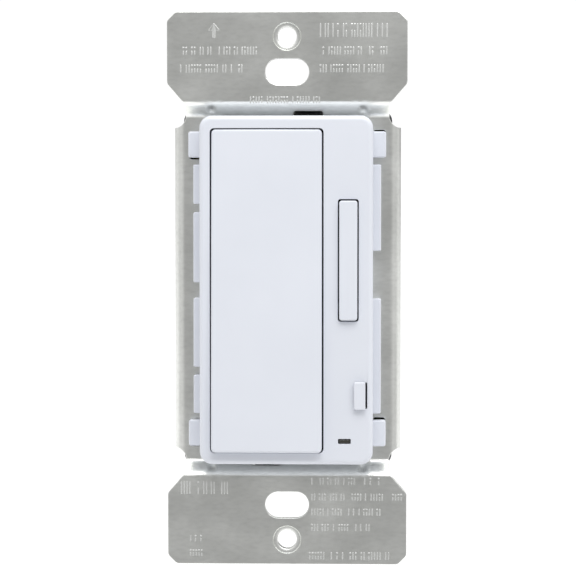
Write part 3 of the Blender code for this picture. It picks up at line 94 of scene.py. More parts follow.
def rounded_box(low: tuple[float, float], high: tuple[float, float], radius: float, steps: int = 8) -> Array:
    """A rectangle with round corners, counter-clockwise.

    Args:
        low: lower left corner.
        high: upper right corner.
        radius: radius of the corners.
        steps: steps in each quarter circle.

    Returns:
        The four quarter circles one after another.
    """
    centres = ((high[0] - radius, low[1] + radius), (high[0] - radius, high[1] - radius),
               (low[0] + radius, high[1] - radius), (low[0] + radius, low[1] + radius))
    return np.concatenate([arc(c, radius, 90.0 * i - 90.0, 90.0 * i, steps) for i, c in enumerate(centres)])


def centred_box(centre: tuple[float, float], half: tuple[float, float], radius: float,
                steps: int = 8) -> Array:
    """A rectangle with round corners, drawn from its middle.

    Args:
        centre: the rectangle's middle.
        half: half of its width and half of its height.
        radius: radius of the corners.
        steps: steps in each quarter circle.

    Returns:
        The outline, counter-clockwise.
    """
    low, high = (centre[0] - half[0], centre[1] - half[1]), (centre[0] + half[0], centre[1] + half[1])
    return rounded_box(low, high, radius, steps)


def slot_outline(centre: tuple[float, float], length: float, height: float, steps: int = 20) -> Array:
    """A slot with round ends, its length along U, counter-clockwise.

    Args:
        centre: the slot's centre.
        length: its length over the round ends.
        height: its height, twice the ends' radius.
        steps: steps in each half circle.

    Returns:
        The two half circles one after another.
    """
    reach = (length - height) / 2
    right = arc((centre[0] + reach, centre[1]), height / 2, -90.0, 90.0, steps)
    left = arc((centre[0] - reach, centre[1]), height / 2, 90.0, 270.0, steps)
    return np.concatenate((right, left))


def eased(corners: Array, radius: float, steps: int = 4) -> Array:
    """A polygon with its corners rounded.

    Each corner gives way to a parabola between two points that lie radius away along its two sides,
    or under half a side where the side is short: (1-t)^2 a + 2t(1-t) corner + t^2 b.

    Args:
        corners: the polygon's corners in order.
        radius: how far from a corner its rounding starts.
        steps: steps along each rounding.

    Returns:
        The rounded outline in the same order.
    """
    before = np.roll(corners, 1, axis=0) - corners
    after = np.roll(corners, -1, axis=0) - corners
    reach_before = np.minimum(radius, 0.45 * np.linalg.norm(before, axis=1))
    reach_after = np.minimum(radius, 0.45 * np.linalg.norm(after, axis=1))
    start = corners + before * (reach_before / np.linalg.norm(before, axis=1))[:, None]
    end = corners + after * (reach_after / np.linalg.norm(after, axis=1))[:, None]
    t = np.linspace(0.0, 1.0, steps + 1)[None, :, None]
    curve = (1 - t) ** 2 * start[:, None] + 2 * t * (1 - t) * corners[:, None] + t**2 * end[:, None]
    return curve.reshape(-1, 2)


def resampled(outline: Array, step: float) -> Array:
    """The same closed outline, with points added so that none lie much further apart than step.

    Args:
        outline: the outline's points, all of which are kept.
        step: the distance along the outline between added points.

    Returns:
        The outline with its own and the added points in order.
    """
    closed = np.concatenate((outline, outline[:1]))
    along = np.concatenate(([0.0], np.cumsum(np.linalg.norm(np.diff(closed, axis=0), axis=1))))
    even = np.linspace(0.0, along[-1], max(2, math.ceil(along[-1] / step)) + 1)
    gap = np.abs(even[:, None] - along[None, :]).min(axis=1)
    places = np.unique(np.concatenate((along, even[gap > 0.3 * step])))[:-1]
    return np.stack([np.interp(places, along, closed[:, i]) for i in (0, 1)], axis=1)


def moved_in(outline: Array, distance: float) -> Array:
    """An outline moved inwards, each point along the mitre of its two sides.

    Args:
        outline: a counter-clockwise outline.
        distance: how far its sides move; a negative distance moves them outwards.

    Returns:
        As many points as before: each plus distance times the sum of its two sides' normals, divided by
        one plus their product.
    """
    side = np.roll(outline, -1, axis=0) - outline
    side /= np.maximum(np.linalg.norm(side, axis=1, keepdims=True), 1e-9)
    normal = np.stack((-side[:, 1], side[:, 0]), axis=1)
    before = np.roll(normal, 1, axis=0)
    mitre = (normal + before) / np.maximum(1.0 + (normal * before).sum(axis=1, keepdims=True), 0.25)
    return outline + distance * mitre


def inside(points: Array, outline: Array) -> Array:
    """Whether each point is inside a closed outline: a ray to its right crosses it an odd number of times.

    Args:
        points: the points to test.
        outline: the outline.

    Returns:
        One truth value a point.
    """
    a, b = outline, np.roll(outline, -1, axis=0)
    u, v = points[:, :1], points[:, 1:]
    spans = (a[:, 1] > v) != (b[:, 1] > v)
    rise = np.where(b[:, 1] == a[:, 1], 1e-12, b[:, 1] - a[:, 1])
    meets = a[:, 0] + (v - a[:, 1]) * (b[:, 0] - a[:, 0]) / rise
    return (spans & (u < meets)).sum(axis=1) % 2 == 1


# --- profiles of rims, as (distance into the material, depth) rows -----------------------------------


def round_over(radius: float, steps: int = 5, support: float = 1.4) -> Array:
    """A rounded front edge: a flat supporting row, then a quarter circle down to the wall.

    Args:
        radius: radius of the edge.
        steps: steps along the quarter circle.
        support: how far the supporting rows lie from the edge, in radii.

    Returns:
        Rows whose distance is radius times (1 - sine) and whose depth grows by radius times (1 - cosine).
    """
    angle = np.linspace(0.0, math.pi / 2, steps + 1)
    rows = np.stack((radius * (1 - np.sin(angle)), radius * (1 - np.cos(angle))), axis=1)
    return np.concatenate(([[support * radius, 0.0]], rows, [[0.0, support * radius]]))


def round_under(radius: float, depth: float, steps: int = 4) -> Array:
    """A rounded back edge: the wall ends in a quarter circle that meets the back face at depth."""
    rows = round_over(radius, steps)[::-1]
    return np.stack((rows[:, 0], depth - rows[:, 1]), axis=1)


# --- meshes -----------------------------------------------------------------------------------------


@dataclass
class Rim:
    """The edge of a plate: an outline and the profile carried along it."""

    outline: Array
    profile: Array
    hole: bool = False
    floor: bool = False

    def rows(self) -> Array:
        """The profile carried along the outline.

        Returns:
            An array of (row, point, (u, v, depth)): the outline moved in by each row's distance.
        """
        inward = -1.0 if self.hole else 1.0
        flat = np.stack([moved_in(self.outline, inward * distance) for distance in self.profile[:, 0]])
        depth = np.broadcast_to(self.profile[:, 1][:, None, None], (*flat.shape[:2], 1))
        return np.concatenate((flat, depth), axis=2)


class Solid:
    """Points and faces that grow piece by piece, in millimetres."""

    def __init__(self) -> None:
        """Starts empty."""
        self.points: list[Array] = []
        self.faces: list[list[int]] = []
        self.count = 0

    def add_points(self, points: Array) -> int:
        """Adds points.

        Args:
            points: an array whose last axis holds three coordinates.

        Returns:
            The number of the first of them.
        """
        first = self.count
        self.points.append(np.asarray(points, float).reshape(-1, 3))
        self.count += len(self.points[-1])
        return first

    def add_grid(self, points: Array, wrap: bool = True) -> int:
        """Adds a grid of points with a quad in each cell.

        Args:
            points: array of (row, column, 3).
            wrap: whether the last column meets the first.

        Returns:
            The number of its first point.
        """
        rows, columns = points.shape[:2]
        first = self.add_points(points)
        row = np.arange(rows - 1)[:, None] * columns
        column = np.arange(columns if wrap else columns - 1)[None, :]
        after = (column + 1) % columns
        cells = np.stack((row + column, row + after, row + columns + after, row + columns + column), axis=-1)
        self.faces += (cells.reshape(-1, 4) + first).tolist()
        return first

    def add_fill(self, loops: Sequence[tuple[Array, int]], lattice: Array, depth: float) -> None:
        """Fills the flat area between loops with triangles that use the loops' own points.

        Args:
            loops: (outline, number of its first point), the outer loop first and then the holes.
            lattice: further (u, v) points; those inside the area are used.
            depth: depth of the area.
        """
        outline = np.concatenate([flat for flat, _ in loops])
        keys = np.concatenate([first + np.arange(len(flat)) for flat, first in loops])
        edges, start = [], 0
        for flat, _ in loops:
            ring = start + np.arange(len(flat))
            edges += np.stack((ring, np.roll(ring, -1)), axis=1).tolist()
            start += len(flat)
        if len(lattice):
            keep = inside(lattice, loops[0][0])
            for flat, _ in loops[1:]:
                keep &= ~inside(lattice, flat)
            lattice = lattice[keep]
            near = np.concatenate([
                np.linalg.norm(part[:, None] - outline[None], axis=2).min(axis=1)
                for part in np.array_split(lattice, max(1, len(lattice) // 500))
            ]) if len(lattice) else np.zeros(0)
            lattice = lattice[near > 0.12]
            first = self.add_points(np.column_stack((lattice, np.full(len(lattice), depth))))
            keys = np.concatenate((keys, first + np.arange(len(lattice))))
            outline = np.concatenate((outline, lattice))
        cut = geometry.delaunay_2d_cdt([Vector(p) for p in outline.tolist()], edges, [], 0, 1e-6)
        flat, faces = np.array([tuple(p) for p in cut[0]]), np.array(cut[2])
        middle = flat[faces].mean(axis=1)
        keep = inside(middle, loops[0][0])
        for hole, _ in loops[1:]:
            keep &= ~inside(middle, hole)
        origin = np.array([(keys[source[0]] if source else -1) for source in cut[3]])
        self.faces += [face for face in origin[faces[keep]].tolist() if min(face) >= 0]

    def add_plate(self, rims: Sequence[Rim], lattice: Array | None = None) -> None:
        """Adds a closed plate.

        The front lies between the first rows of the rims and the back between their last rows, and each
        rim's profile joins the two. A rim with a floor is a blind recess, closed at its own last row.

        Args:
            rims: the outer rim first, then those of holes and recesses.
            lattice: (u, v) points added inside the front and the back, where the plate will be bent.
        """
        extra = np.zeros((0, 2)) if lattice is None else lattice
        front, back = [], []
        for rim in rims:
            grid = rim.rows()
            first = self.add_grid(grid)
            last = first + (len(grid) - 1) * grid.shape[1]
            front.append((grid[0, :, :2], first))
            if rim.floor:
                self.add_fill([(grid[-1, :, :2], last)], np.zeros((0, 2)), rim.profile[-1, 1])
            else:
                back.append((grid[-1, :, :2], last))
        self.add_fill(front, extra, rims[0].profile[0, 1])
        self.add_fill(back, extra, rims[0].profile[-1, 1])

    def placed(self, place: Place) -> "Solid":
        """A copy with every (u, v, depth) point moved.

        Args:
            place: the function that moves an array of points.

        Returns:
            The moved copy.
        """
        other = Solid()
        other.add_points(place(np.concatenate(self.points)))
        other.faces = [list(face) for face in self.faces]
        return other

    def joined(self, *others: "Solid") -> "Solid":
        """Adds other solids to this one.

        Args:
            others: the solids to add.

        Returns:
            This solid.
        """
        for other in others:
            first = self.add_points(np.concatenate(other.points))
            self.faces += [[i + first for i in face] for face in other.faces]
        return self


def facing_room(front: float) -> Place:
    """The place of a plate seen from the room: (u, v, depth) becomes (u, front + depth, v)."""
    return lambda p: np.stack((p[:, 0], front + p[:, 2], p[:, 1]), axis=1)


def along_axis(axis: str, centre: tuple[float, float], start: float, direction: int) -> Place:
    """The place of a plate whose depth runs along an axis.

    Args:
        axis: X, Y or Z, the axis that the depth runs along.
        centre: the plate's centre in the two other coordinates, in X, Y, Z order.
        start: where depth 0 lies on the axis.
        direction: 1 or -1, which way the depth grows.

    Returns:
        The function that moves the points.
    """
    order = {"X": (2, 0, 1), "Y": (0, 2, 1), "Z": (0, 1, 2)}[axis]

    def place(p: Array) -> Array:
        """Moves (u, v, depth) to the axis."""
        local = np.stack((centre[0] + p[:, 0], centre[1] + p[:, 1], start + direction * p[:, 2]), axis=1)
        return local[:, order]

    return place


def block(low: tuple[float, float, float], high: tuple[float, float, float], edge: float,
          corner: float = 0.3) -> Solid:
    """A small moulded block whose front faces the room.

    Args:
        low: lowest x, y and z.
        high: highest x, y and z.
        edge: radius of the front edges.
        corner: radius of the corners seen from the room.

    Returns:
        The closed solid, square at its back.
    """
    outline = rounded_box((low[0], low[2]), (high[0], high[2]), max(corner, 1.5 * edge), 5)
    profile = np.concatenate((round_over(edge, 4), [[0.0, high[1] - low[1]]]))
    made = Solid()
    made.add_plate([Rim(outline, profile)])
    return made.placed(facing_room(low[1]))


# --- materials --------------------------------------------------------------------------------------


EVEN = (1.0, 1.0, 1.0)  # no stretch
BUMP_DEPTH = 0.05 * MM


class Group(Enum):
    """The shader node groups that several finishes share."""

    MOULDED = "Moulded surface"
    BRUSHED = "Brushed sheet"
    PLATED = "Plated surface"


def new_group(kind: Group, inputs: dict[str, float], outputs: Sequence[str]) -> bpy.types.NodeTree:
    """An empty shader node group with named sockets.

    Args:
        kind: which group it is.
        inputs: name and default of each number that goes in.
        outputs: name of each number that comes out.

    Returns:
        The group with its input and output nodes.
    """
    tree = bpy.data.node_groups.new(kind.value, "ShaderNodeTree")
    for name, value in inputs.items():
        socket = tree.interface.new_socket(name=name, in_out="INPUT", socket_type="NodeSocketFloat")
        socket.default_value = value
    for name in outputs:
        tree.interface.new_socket(name=name, in_out="OUTPUT", socket_type="NodeSocketFloat")
    tree.nodes.new("NodeGroupInput")
    tree.nodes.new("NodeGroupOutput")
    return tree


def noise(tree: bpy.types.NodeTree, stretch: tuple[float, float, float], scale: float,
          detail: float = 4.0) -> bpy.types.NodeSocket:
    """Noise on Object coordinates, stretched along the axes.

    Args:
        tree: the node tree it goes into.
        stretch: factors on X, Y and Z before the noise is read.
        scale: the noise's scale, in cycles a metre.
        detail: how many finer layers it holds.

    Returns:
        The socket with its value from 0 to 1.
    """
    where = tree.nodes.new("ShaderNodeTexCoord")
    mapping = tree.nodes.new("ShaderNodeMapping")
    mapping.inputs["Scale"].default_value = stretch
    made = tree.nodes.new("ShaderNodeTexNoise")
    made.inputs["Scale"].default_value = scale
    made.inputs["Detail"].default_value = detail
    tree.links.new(where.outputs["Object"], mapping.inputs["Vector"])
    tree.links.new(mapping.outputs["Vector"], made.inputs["Vector"])
    return made.outputs["Fac"]


def spread(tree: bpy.types.NodeTree, value: bpy.types.NodeSocket, low: float,
           high: float) -> bpy.types.NodeSocket:
    """Stretches the middle of a noise's range over low to high, and clamps it.

    Args:
        tree: the node tree it goes into.
        value: the noise.
        low: what 0.3 becomes.
        high: what 0.7 becomes.

    Returns:
        The socket with the stretched value.
    """
    made = tree.nodes.new("ShaderNodeMapRange")
    made.inputs["From Min"].default_value = 0.3
    made.inputs["From Max"].default_value = 0.7
    made.inputs["To Min"].default_value = low
    made.inputs["To Max"].default_value = high
    tree.links.new(value, made.inputs["Value"])
    return made.outputs["Result"]


def mixed(tree: bpy.types.NodeTree, share: bpy.types.NodeSocket, first: bpy.types.NodeSocket,
          second: bpy.types.NodeSocket) -> bpy.types.NodeSocket:
    """A mix of two values.

    Args:
        tree: the node tree it goes into.
        share: the share of the second value.
        first: the first value.
        second: the second value.

    Returns:
        The socket with the mixed value.
    """
    made = tree.nodes.new("ShaderNodeMix")
    tree.links.new(share, made.inputs["Factor"])
    tree.links.new(first, made.inputs["A"])
    tree.links.new(second, made.inputs["B"])
    return made.outputs["Result"]


def surface_group(kind: Group) -> bpy.types.NodeTree:
    """A group that takes a smooth and a rough end, and gives a surface's tone, roughness and height.

    Args:
        kind: which group it is.

    Returns:
        The group, with nothing wired yet.
    """
    return new_group(kind, {"Smooth": 0.3, "Rough": 0.4}, ("Tone", "Roughness", "Height"))


def wire_surface(tree: bpy.types.NodeTree, tone: bpy.types.NodeSocket, share: bpy.types.NodeSocket,
                 height: bpy.types.NodeSocket) -> None:
    """Wires a surface group's outputs.

    Args:
        tree: the group.
        tone: noise that chooses between the finish's two tones.
        share: noise that chooses between its smooth and its rough end.
        height: height of its texture.
    """
    source, target = tree.nodes["Group Input"], tree.nodes["Group Output"]
    rough = mixed(tree, spread(tree, share, 0.0, 1.0), source.outputs["Smooth"], source.outputs["Rough"])
    tree.links.new(spread(tree, tone, 0.0, 1.0), target.inputs["Tone"])
    tree.links.new(rough, target.inputs["Roughness"])
    tree.links.new(height, target.inputs["Height"])


def moulded_group() -> None:
    """A moulding: a slow mottle in tone and roughness, and a fine sparkle grain in height."""
    tree = surface_group(Group.MOULDED)
    mottle = noise(tree, EVEN, 70.0)
    grain = noise(tree, EVEN, 2600.0, 2.0)
    wire_surface(tree, mottle, mottle, grain)


def brushed_group() -> None:
    """Rolled sheet: a fine grain with faint lines along X, and cloudy patches."""
    tree = surface_group(Group.BRUSHED)
    grain = noise(tree, (0.45, 1.0, 1.0), 1500.0)
    lines = noise(tree, (0.06, 1.0, 1.0), 900.0, 3.0)
    cloud = noise(tree, (0.7, 1.0, 1.0), 110.0, 5.0)
    texture = mixed(tree, spread(tree, cloud, 0.05, 0.2), grain, lines)
    tone = mixed(tree, spread(tree, grain, 0.3, 0.6), texture, cloud)
    wire_surface(tree, tone, cloud, texture)


def plated_group() -> None:
    """Small plated pieces: a slow stain in tone, and small tumbling marks in roughness and height."""
    tree = surface_group(Group.PLATED)
    stain = noise(tree, EVEN, 260.0, 5.0)
    marks = noise(tree, EVEN, 3400.0, 2.0)
    wire_surface(tree, stain, marks, marks)


@dataclass(frozen=True)
class Finish:
    """A finish: two tones of one colour, a range of roughness and the depth of its texture."""

    name: str
    light: tuple[float, float, float]
    dark: tuple[float, float, float]
    smooth: float
    rough: float
    group: Group = Group.MOULDED
    metallic: float = 0.0
    bump: float = 0.1
    coat: float = 0.0

    def material(self) -> bpy.types.Material:
        """The finish's material, built when it is first asked for."""
        made = bpy.data.materials.get(self.name)
        return made if made else self._build()

    def _build(self) -> bpy.types.Material:
        """Builds the material round a Principled shader.

        Returns:
            The material, its colour, roughness and bump fed by the finish's group.
        """
        material = bpy.data.materials.new(self.name)
        material.use_nodes = True
        tree = material.node_tree
        shader = tree.nodes["Principled BSDF"]
        shader.inputs["Metallic"].default_value = self.metallic
        shader.inputs["Coat Weight"].default_value = self.coat
        texture = tree.nodes.new("ShaderNodeGroup")
        texture.node_tree = bpy.data.node_groups[self.group.value]
        texture.inputs["Smooth"].default_value = self.smooth
        texture.inputs["Rough"].default_value = self.rough
        colour = tree.nodes.new("ShaderNodeMix")
        colour.data_type = "RGBA"
        colour.inputs["A"].default_value = (*self.dark, 1.0)
        colour.inputs["B"].default_value = (*self.light, 1.0)
        bump = tree.nodes.new("ShaderNodeBump")
        bump.inputs["Strength"].default_value = self.bump
        bump.inputs["Distance"].default_value = BUMP_DEPTH
        tree.links.new(texture.outputs["Tone"], colour.inputs["Factor"])
        tree.links.new(colour.outputs["Result"], shader.inputs["Base Color"])
        tree.links.new(texture.outputs["Roughness"], shader.inputs["Roughness"])
        tree.links.new(texture.outputs["Height"], bump.inputs["Height"])
        tree.links.new(bump.outputs["Normal"], shader.inputs["Normal"])
        return material


WHITE = Finish("white moulding", (0.73, 0.755, 0.815), (0.71, 0.735, 0.795), 0.30, 0.38, bump=0.05)
STRAP_ZINC = Finish("brushed zinc", (0.95, 0.96, 0.93), (0.78, 0.79, 0.76), 0.28, 0.36, Group.BRUSHED, 1.0,
                    0.15)
STAMPED = Finish("stamped zinc", (0.90, 0.91, 0.89), (0.80, 0.81, 0.79), 0.42, 0.5, Group.PLATED, 1.0, 0.15)
BLACK = Finish("black moulding", (0.030, 0.030, 0.033), (0.018, 0.018, 0.020), 0.38, 0.52, bump=0.3)
GREY = Finish("grey moulding", (0.38, 0.39, 0.40), (0.32, 0.33, 0.34), 0.38, 0.5)
STEEL = Finish("plated steel", (0.62, 0.62, 0.63), (0.46, 0.46, 0.48), 0.18, 0.36, Group.PLATED, 1.0)
BRASS = Finish("brass", (0.72, 0.50, 0.20), (0.55, 0.36, 0.13), 0.18, 0.36, Group.PLATED, 1.0)
GREEN_STEEL = Finish("green steel", (0.07, 0.36, 0.14), (0.03, 0.22, 0.08), 0.2, 0.38, Group.PLATED, 0.8)
BOARD = Finish("solder mask", (0.03, 0.17, 0.07), (0.02, 0.11, 0.05), 0.3, 0.45, coat=0.3)
COPPER = Finish("copper wire", (0.64, 0.28, 0.12), (0.48, 0.18, 0.07), 0.2, 0.35, Group.PLATED, 1.0)
FERRITE = Finish("ferrite", (0.05, 0.05, 0.05), (0.03, 0.03, 0.03), 0.5, 0.7, bump=0.4)
FILM_BOX = Finish("film capacitor box", (0.70, 0.42, 0.03), (0.62, 0.36, 0.02), 0.35, 0.5)
CAN = Finish("capacitor sleeve", (0.02, 0.03, 0.09), (0.01, 0.02, 0.07), 0.25, 0.4, coat=0.4)
EPOXY = Finish("blue epoxy", (0.03, 0.10, 0.33), (0.02, 0.08, 0.27), 0.3, 0.45, coat=0.3)
CERAMIC = Finish("glazed ceramic", (0.72, 0.70, 0.64), (0.66, 0.64, 0.58), 0.25, 0.4)
PAPER = Finish("pressed paper", (0.18, 0.13, 0.07), (0.12, 0.09, 0.05), 0.7, 0.9, bump=0.5)
SILICONE = Finish("silicone pad", (0.38, 0.41, 0.45), (0.33, 0.36, 0.40), 0.6, 0.8)
LENS = Finish("smoked lens", (0.045, 0.045, 0.035), (0.03, 0.03, 0.024), 0.10, 0.18, coat=0.6)
PALE = Finish("floor", (0.95, 0.95, 0.95), (0.94, 0.94, 0.94), 0.6, 0.75)

SLOT_FINISHES = {
    "strap_metal": STRAP_ZINC, "white_plastic": WHITE, "black_plastic": BLACK, "grey_plastic": GREY,
    "steel": STEEL, "brass": BRASS, "green_steel": GREEN_STEEL, "board_green": BOARD, "copper": COPPER,
    "ferrite": FERRITE, "film_yellow": FILM_BOX, "can_sleeve": CAN, "varistor_blue": EPOXY,
    "fuse_ceramic": CERAMIC, "fish_paper": PAPER, "silicone": SILICONE, "clear_plastic": LENS,
    "lamp_white": CERAMIC,
}


# --- pieces -----------------------------------------------------------------------------------------


class Parts:
    """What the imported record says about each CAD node."""

    def __init__(self, record: dict) -> None:
        """Reads the bodies and the material slots.

        Args:
            record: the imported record.
        """
        bodies = record["behaviour"]["bodies"]
        self.body = {node: body for body, nodes in bodies.items() for node in nodes}
        self.slot = {row["node"]: row["material_slot"] for row in record["subparts"]}

    @staticmethod
    def box(node: str) -> Array:
        """A node's lowest and highest corners, in millimetres."""
        return np.array(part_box(node), float) / MM

    def middle(self, node: str, axes: tuple[int, int] = (0, 2)) -> tuple[float, float]:
        """The middle of a node's box.

        Args:
            node: the node.
            axes: the two axes wanted, counted from X.

        Returns:
            The middle in those two axes, in millimetres.
        """
        low, high = self.box(node)
        return float(low[axes[0]] + high[axes[0]]) / 2, float(low[axes[1]] + high[axes[1]]) / 2


@dataclass
class Piece:
    """One finished piece: its name, finish and the CAD node that it stands for."""

    name: str
    finish: Finish
    node: str
    replaces: bool = True
    sharp: float = 32.0

    def build(self, solid: Solid, parts: Parts) -> bpy.types.Object:
        """Makes the mesh object, shades it and ties it to its body.

        Args:
            solid: closed surfaces in millimetres.
            parts: the record's bodies and slots.

        Returns:
            The new object.
        """
        mesh = bpy.data.meshes.new(self.name)
        mesh.from_pydata((np.concatenate(solid.points) * MM).tolist(), [], solid.faces)
        shape = bmesh.new()
        shape.from_mesh(mesh)
        loose = [v for v in shape.verts if not v.link_faces]
        bmesh.ops.delete(shape, geom=loose, context="VERTS")
        bmesh.ops.recalc_face_normals(shape, faces=shape.faces)
        shape.to_mesh(mesh)
        shape.free()
        return self.finish_object(mesh, parts)

    def finish_object(self, mesh: bpy.types.Mesh, parts: Parts) -> bpy.types.Object:
        """Shades a mesh, gives it its material and ties it to its body.

        Args:
            mesh: the finished mesh.
            parts: the record's bodies and slots.

        Returns:
            The new object.
        """
        mesh.shade_smooth()
        mesh.set_sharp_from_angle(angle=math.radians(self.sharp))
        mesh.materials.clear()
        mesh.materials.append(self.finish.material())
        made = bpy.data.objects.new(self.name, mesh)
        bpy.context.scene.collection.objects.link(made)
        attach(made, parts.body[self.node])
        if self.replaces:
            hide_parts(self.node)
        LOG.info("%s: %d faces on %s", self.name, len(mesh.polygons), parts.body[self.node])
        return made


@dataclass
class Strap:
    """The plated steel strap: a flat blank, folded, with its holes, collars, lugs and stamped marks."""

    parts: Parts
    thickness: float = 1.2
    recess: float = 3.0
    ear_half: float = 23.05
    ear_start: float = 35.6
    ear_corner: float = 1.7
    ear_slope: tuple[float, float] = (3.3, 3.8)
    middle_half: float = 33.5
    flat_half: float = 19.6
    fold_radius: float = 2.3
    flange_depth: float = 7.7
    relief: float = 2.4
    edge: float = 0.13
    ramp_blend: float = 1.3
    slot_size: tuple[float, float] = (8.4, 5.0)
    slot_z: float = 41.67
    screw_z: float = 48.42
    screw_radius: float = 1.85
    sink: float = 0.9
    collar_wall: float = 0.75
    collar_height: float = 1.2
    lug_x: float = 4.0
    lug_half: float = 2.8
    lug_z: tuple[float, float] = (34.9, 36.1)
    lug_front: float = 0.05
    lug_reach: float = 13.0
    window_z: tuple[float, float] = (32.0, 34.15)
    snap: tuple[float, float] = (17.75, 27.8)
    snap_half: tuple[float, float] = (1.1, 2.5)
    snap_shift: float = 0.3
    foot_half: tuple[float, float] = (1.3, 2.4)
    plunger_bore: float = 1.9
    pipe_bore: float = 1.55
    screw_bore: float = 1.65
    dent_x: float = 14.6
    dent_half: tuple[float, float] = (1.15, 0.9)
    dent_below: float = 0.95
    dent_depth: float = 0.62

    def half_height(self) -> float:
        """Half of the strap's height, from the frame."""
        return float(self.parts.box("mounting_strap")[1, 2])

    def ramp(self, v: Array) -> tuple[Array, Array]:
        """The front surface across the fold between an ear and the middle.

        The slope is a trapezoid over the height: it grows evenly over a blend, stays, and falls evenly.
        Its running sum is the surface, from the ears' front to the middle's.

        Args:
            v: heights on the blank.

        Returns:
            The depth y at each height, and its slope against the height.
        """
        run = self.ear_start - self.middle_half
        flat = (run - self.ramp_blend) / 2
        t = np.linspace(-(flat + self.ramp_blend), flat + self.ramp_blend, 401)
        slope = -self.recess / run * np.clip((flat + self.ramp_blend - np.abs(t)) / self.ramp_blend, 0, 1)
        rise = np.concatenate(([0.0], np.cumsum((slope[1:] + slope[:-1]) / 2 * np.diff(t))))
        where = np.abs(v) - (self.ear_start + self.middle_half) / 2
        y = self.recess - self.thickness + np.interp(where, t, rise)
        return y, np.interp(where, t, slope, left=0.0, right=0.0) * np.sign(v)

    def fold(self, p: Array) -> Array:
        """Folds the blank: a point goes depth along the normal from its place on the front surface.

        Beyond the flat half width, the front follows a quarter circle of the fold's radius and then
        runs straight back. Along the height it follows the ramp.

        Args:
            p: points as (u, v, depth) on the blank.

        Returns:
            Points as (x, y, z).
        """
        u, v, depth = p.T
        beyond = np.where(np.abs(v) < self.middle_half, np.maximum(np.abs(u) - self.flat_half, 0.0), 0.0)
        angle = np.clip(beyond / self.fold_radius, 0.0, math.pi / 2)
        straight = np.maximum(beyond - self.fold_radius * math.pi / 2, 0.0)
        side = np.sign(u)
        x = np.where(beyond > 0, side * (self.flat_half + self.fold_radius * np.sin(angle)), u)
        y, slope = self.ramp(v)
        y = y + self.fold_radius * (1 - np.cos(angle)) + straight + self.dent(u, v)
        length = np.sqrt(1 + slope**2)
        normal = np.stack((-side * np.sin(angle), np.cos(angle) + 1 / length - 1, -slope / length), axis=1)
        return np.stack((x, y, v), axis=1) + depth[:, None] * normal

    def dent(self, u: Array, v: Array) -> Array:
        """Depth of the stiffening dents across the fold beside each ear.

        Each is a product of two humps, (1 - s^2)^2 of the share s of its half width and half height.

        Args:
            u: places across the blank.
            v: heights on the blank.

        Returns:
            How far back the surface is pressed.
        """
        across = np.clip((np.abs(u) - self.dent_x) / self.dent_half[0], -1.0, 1.0)
        along = np.clip((np.abs(v) - self.ear_start + self.dent_below) / self.dent_half[1], -1.0, 1.0)
        return self.dent_depth * (1 - across**2) ** 2 * (1 - along**2) ** 2

    def blank(self) -> Array:
        """The outline of the flat blank.

        Returns:
            The right upper quarter mirrored to both sides, counter-clockwise, its corners eased.
        """
        top = self.half_height()
        end = self.flat_half + self.fold_radius * math.pi / 2 + self.flange_depth - self.fold_radius
        relief = arc((self.flat_half + self.relief, self.middle_half), self.relief, 180.0, 270.0, 10)
        slope_u, slope_v = self.ear_slope
        right = np.concatenate((
            [[end, self.middle_half - self.relief]], relief[::-1],
            [[self.flat_half, self.ear_start - 0.3], [self.ear_half - slope_u, self.ear_start],
             [self.ear_half, self.ear_start + slope_v], [self.ear_half, top - self.ear_corner],
             [self.ear_half - self.ear_corner, top]],
        ))
        upper = np.concatenate((right, (right * (-1, 1))[::-1]))
        corners = np.concatenate((upper, (upper * (1, -1))[::-1]))
        return resampled(eased(corners, 0.5), 0.45)

    def sheet_edge(self) -> Array:
        """The profile of the sheet's edges: rounded at the front and at the back."""
        return np.concatenate((round_over(self.edge, 3), round_under(self.edge, self.thickness, 2)))

    def collar(self) -> Array:
        """The profile of a tapped hole, from its sunk seat in front to the collar pressed out behind.

        Returns:
            Rows that step down a bevelled ring to a flat seat, run through the bore, turn round the
            collar's end and come back to the sheet outside it.
        """
        sink, wall, back = self.sink, self.collar_wall, self.thickness + self.collar_height
        seat = [(1.12 * sink, 0.0), (sink, 0.0), (0.95 * sink, 0.05), (0.86 * sink, 0.20),
                (0.78 * sink, 0.27), (0.12, 0.31)]
        bore = [(0.03, 0.37), (0.0, 0.5), (0.0, back - 0.08), (0.08, back)]
        outside = [(wall - 0.1, back), (wall, back - 0.1), (wall, self.thickness + 0.15),
                   (wall + 0.15, self.thickness), (wall + 0.35, self.thickness)]
        return np.array(seat + bore + outside)

    def holes(self) -> list[Rim]:
        """Every hole of the sheet.

        Returns:
            The rims of box slots, tapped holes, windows and bores.
        """
        wall = self.sheet_edge()
        rims = []
        for end in (1, -1):
            rims.append(Rim(slot_outline((0.0, end * self.slot_z), *self.slot_size), wall, hole=True))
            rims.append(Rim(circle((0.0, end * self.screw_z), self.screw_radius), self.collar(), hole=True))
            low, high = sorted((end * self.window_z[0], end * self.window_z[1]))
            left = end * self.lug_x - self.lug_half
            window = rounded_box((left, low), (left + 2 * self.lug_half, high), 0.4, 5)
            rims.append(Rim(resampled(window, 0.35), wall, hole=True))
        return rims + [Rim(outline, wall, hole=True) for outline in self.hidden_holes()]

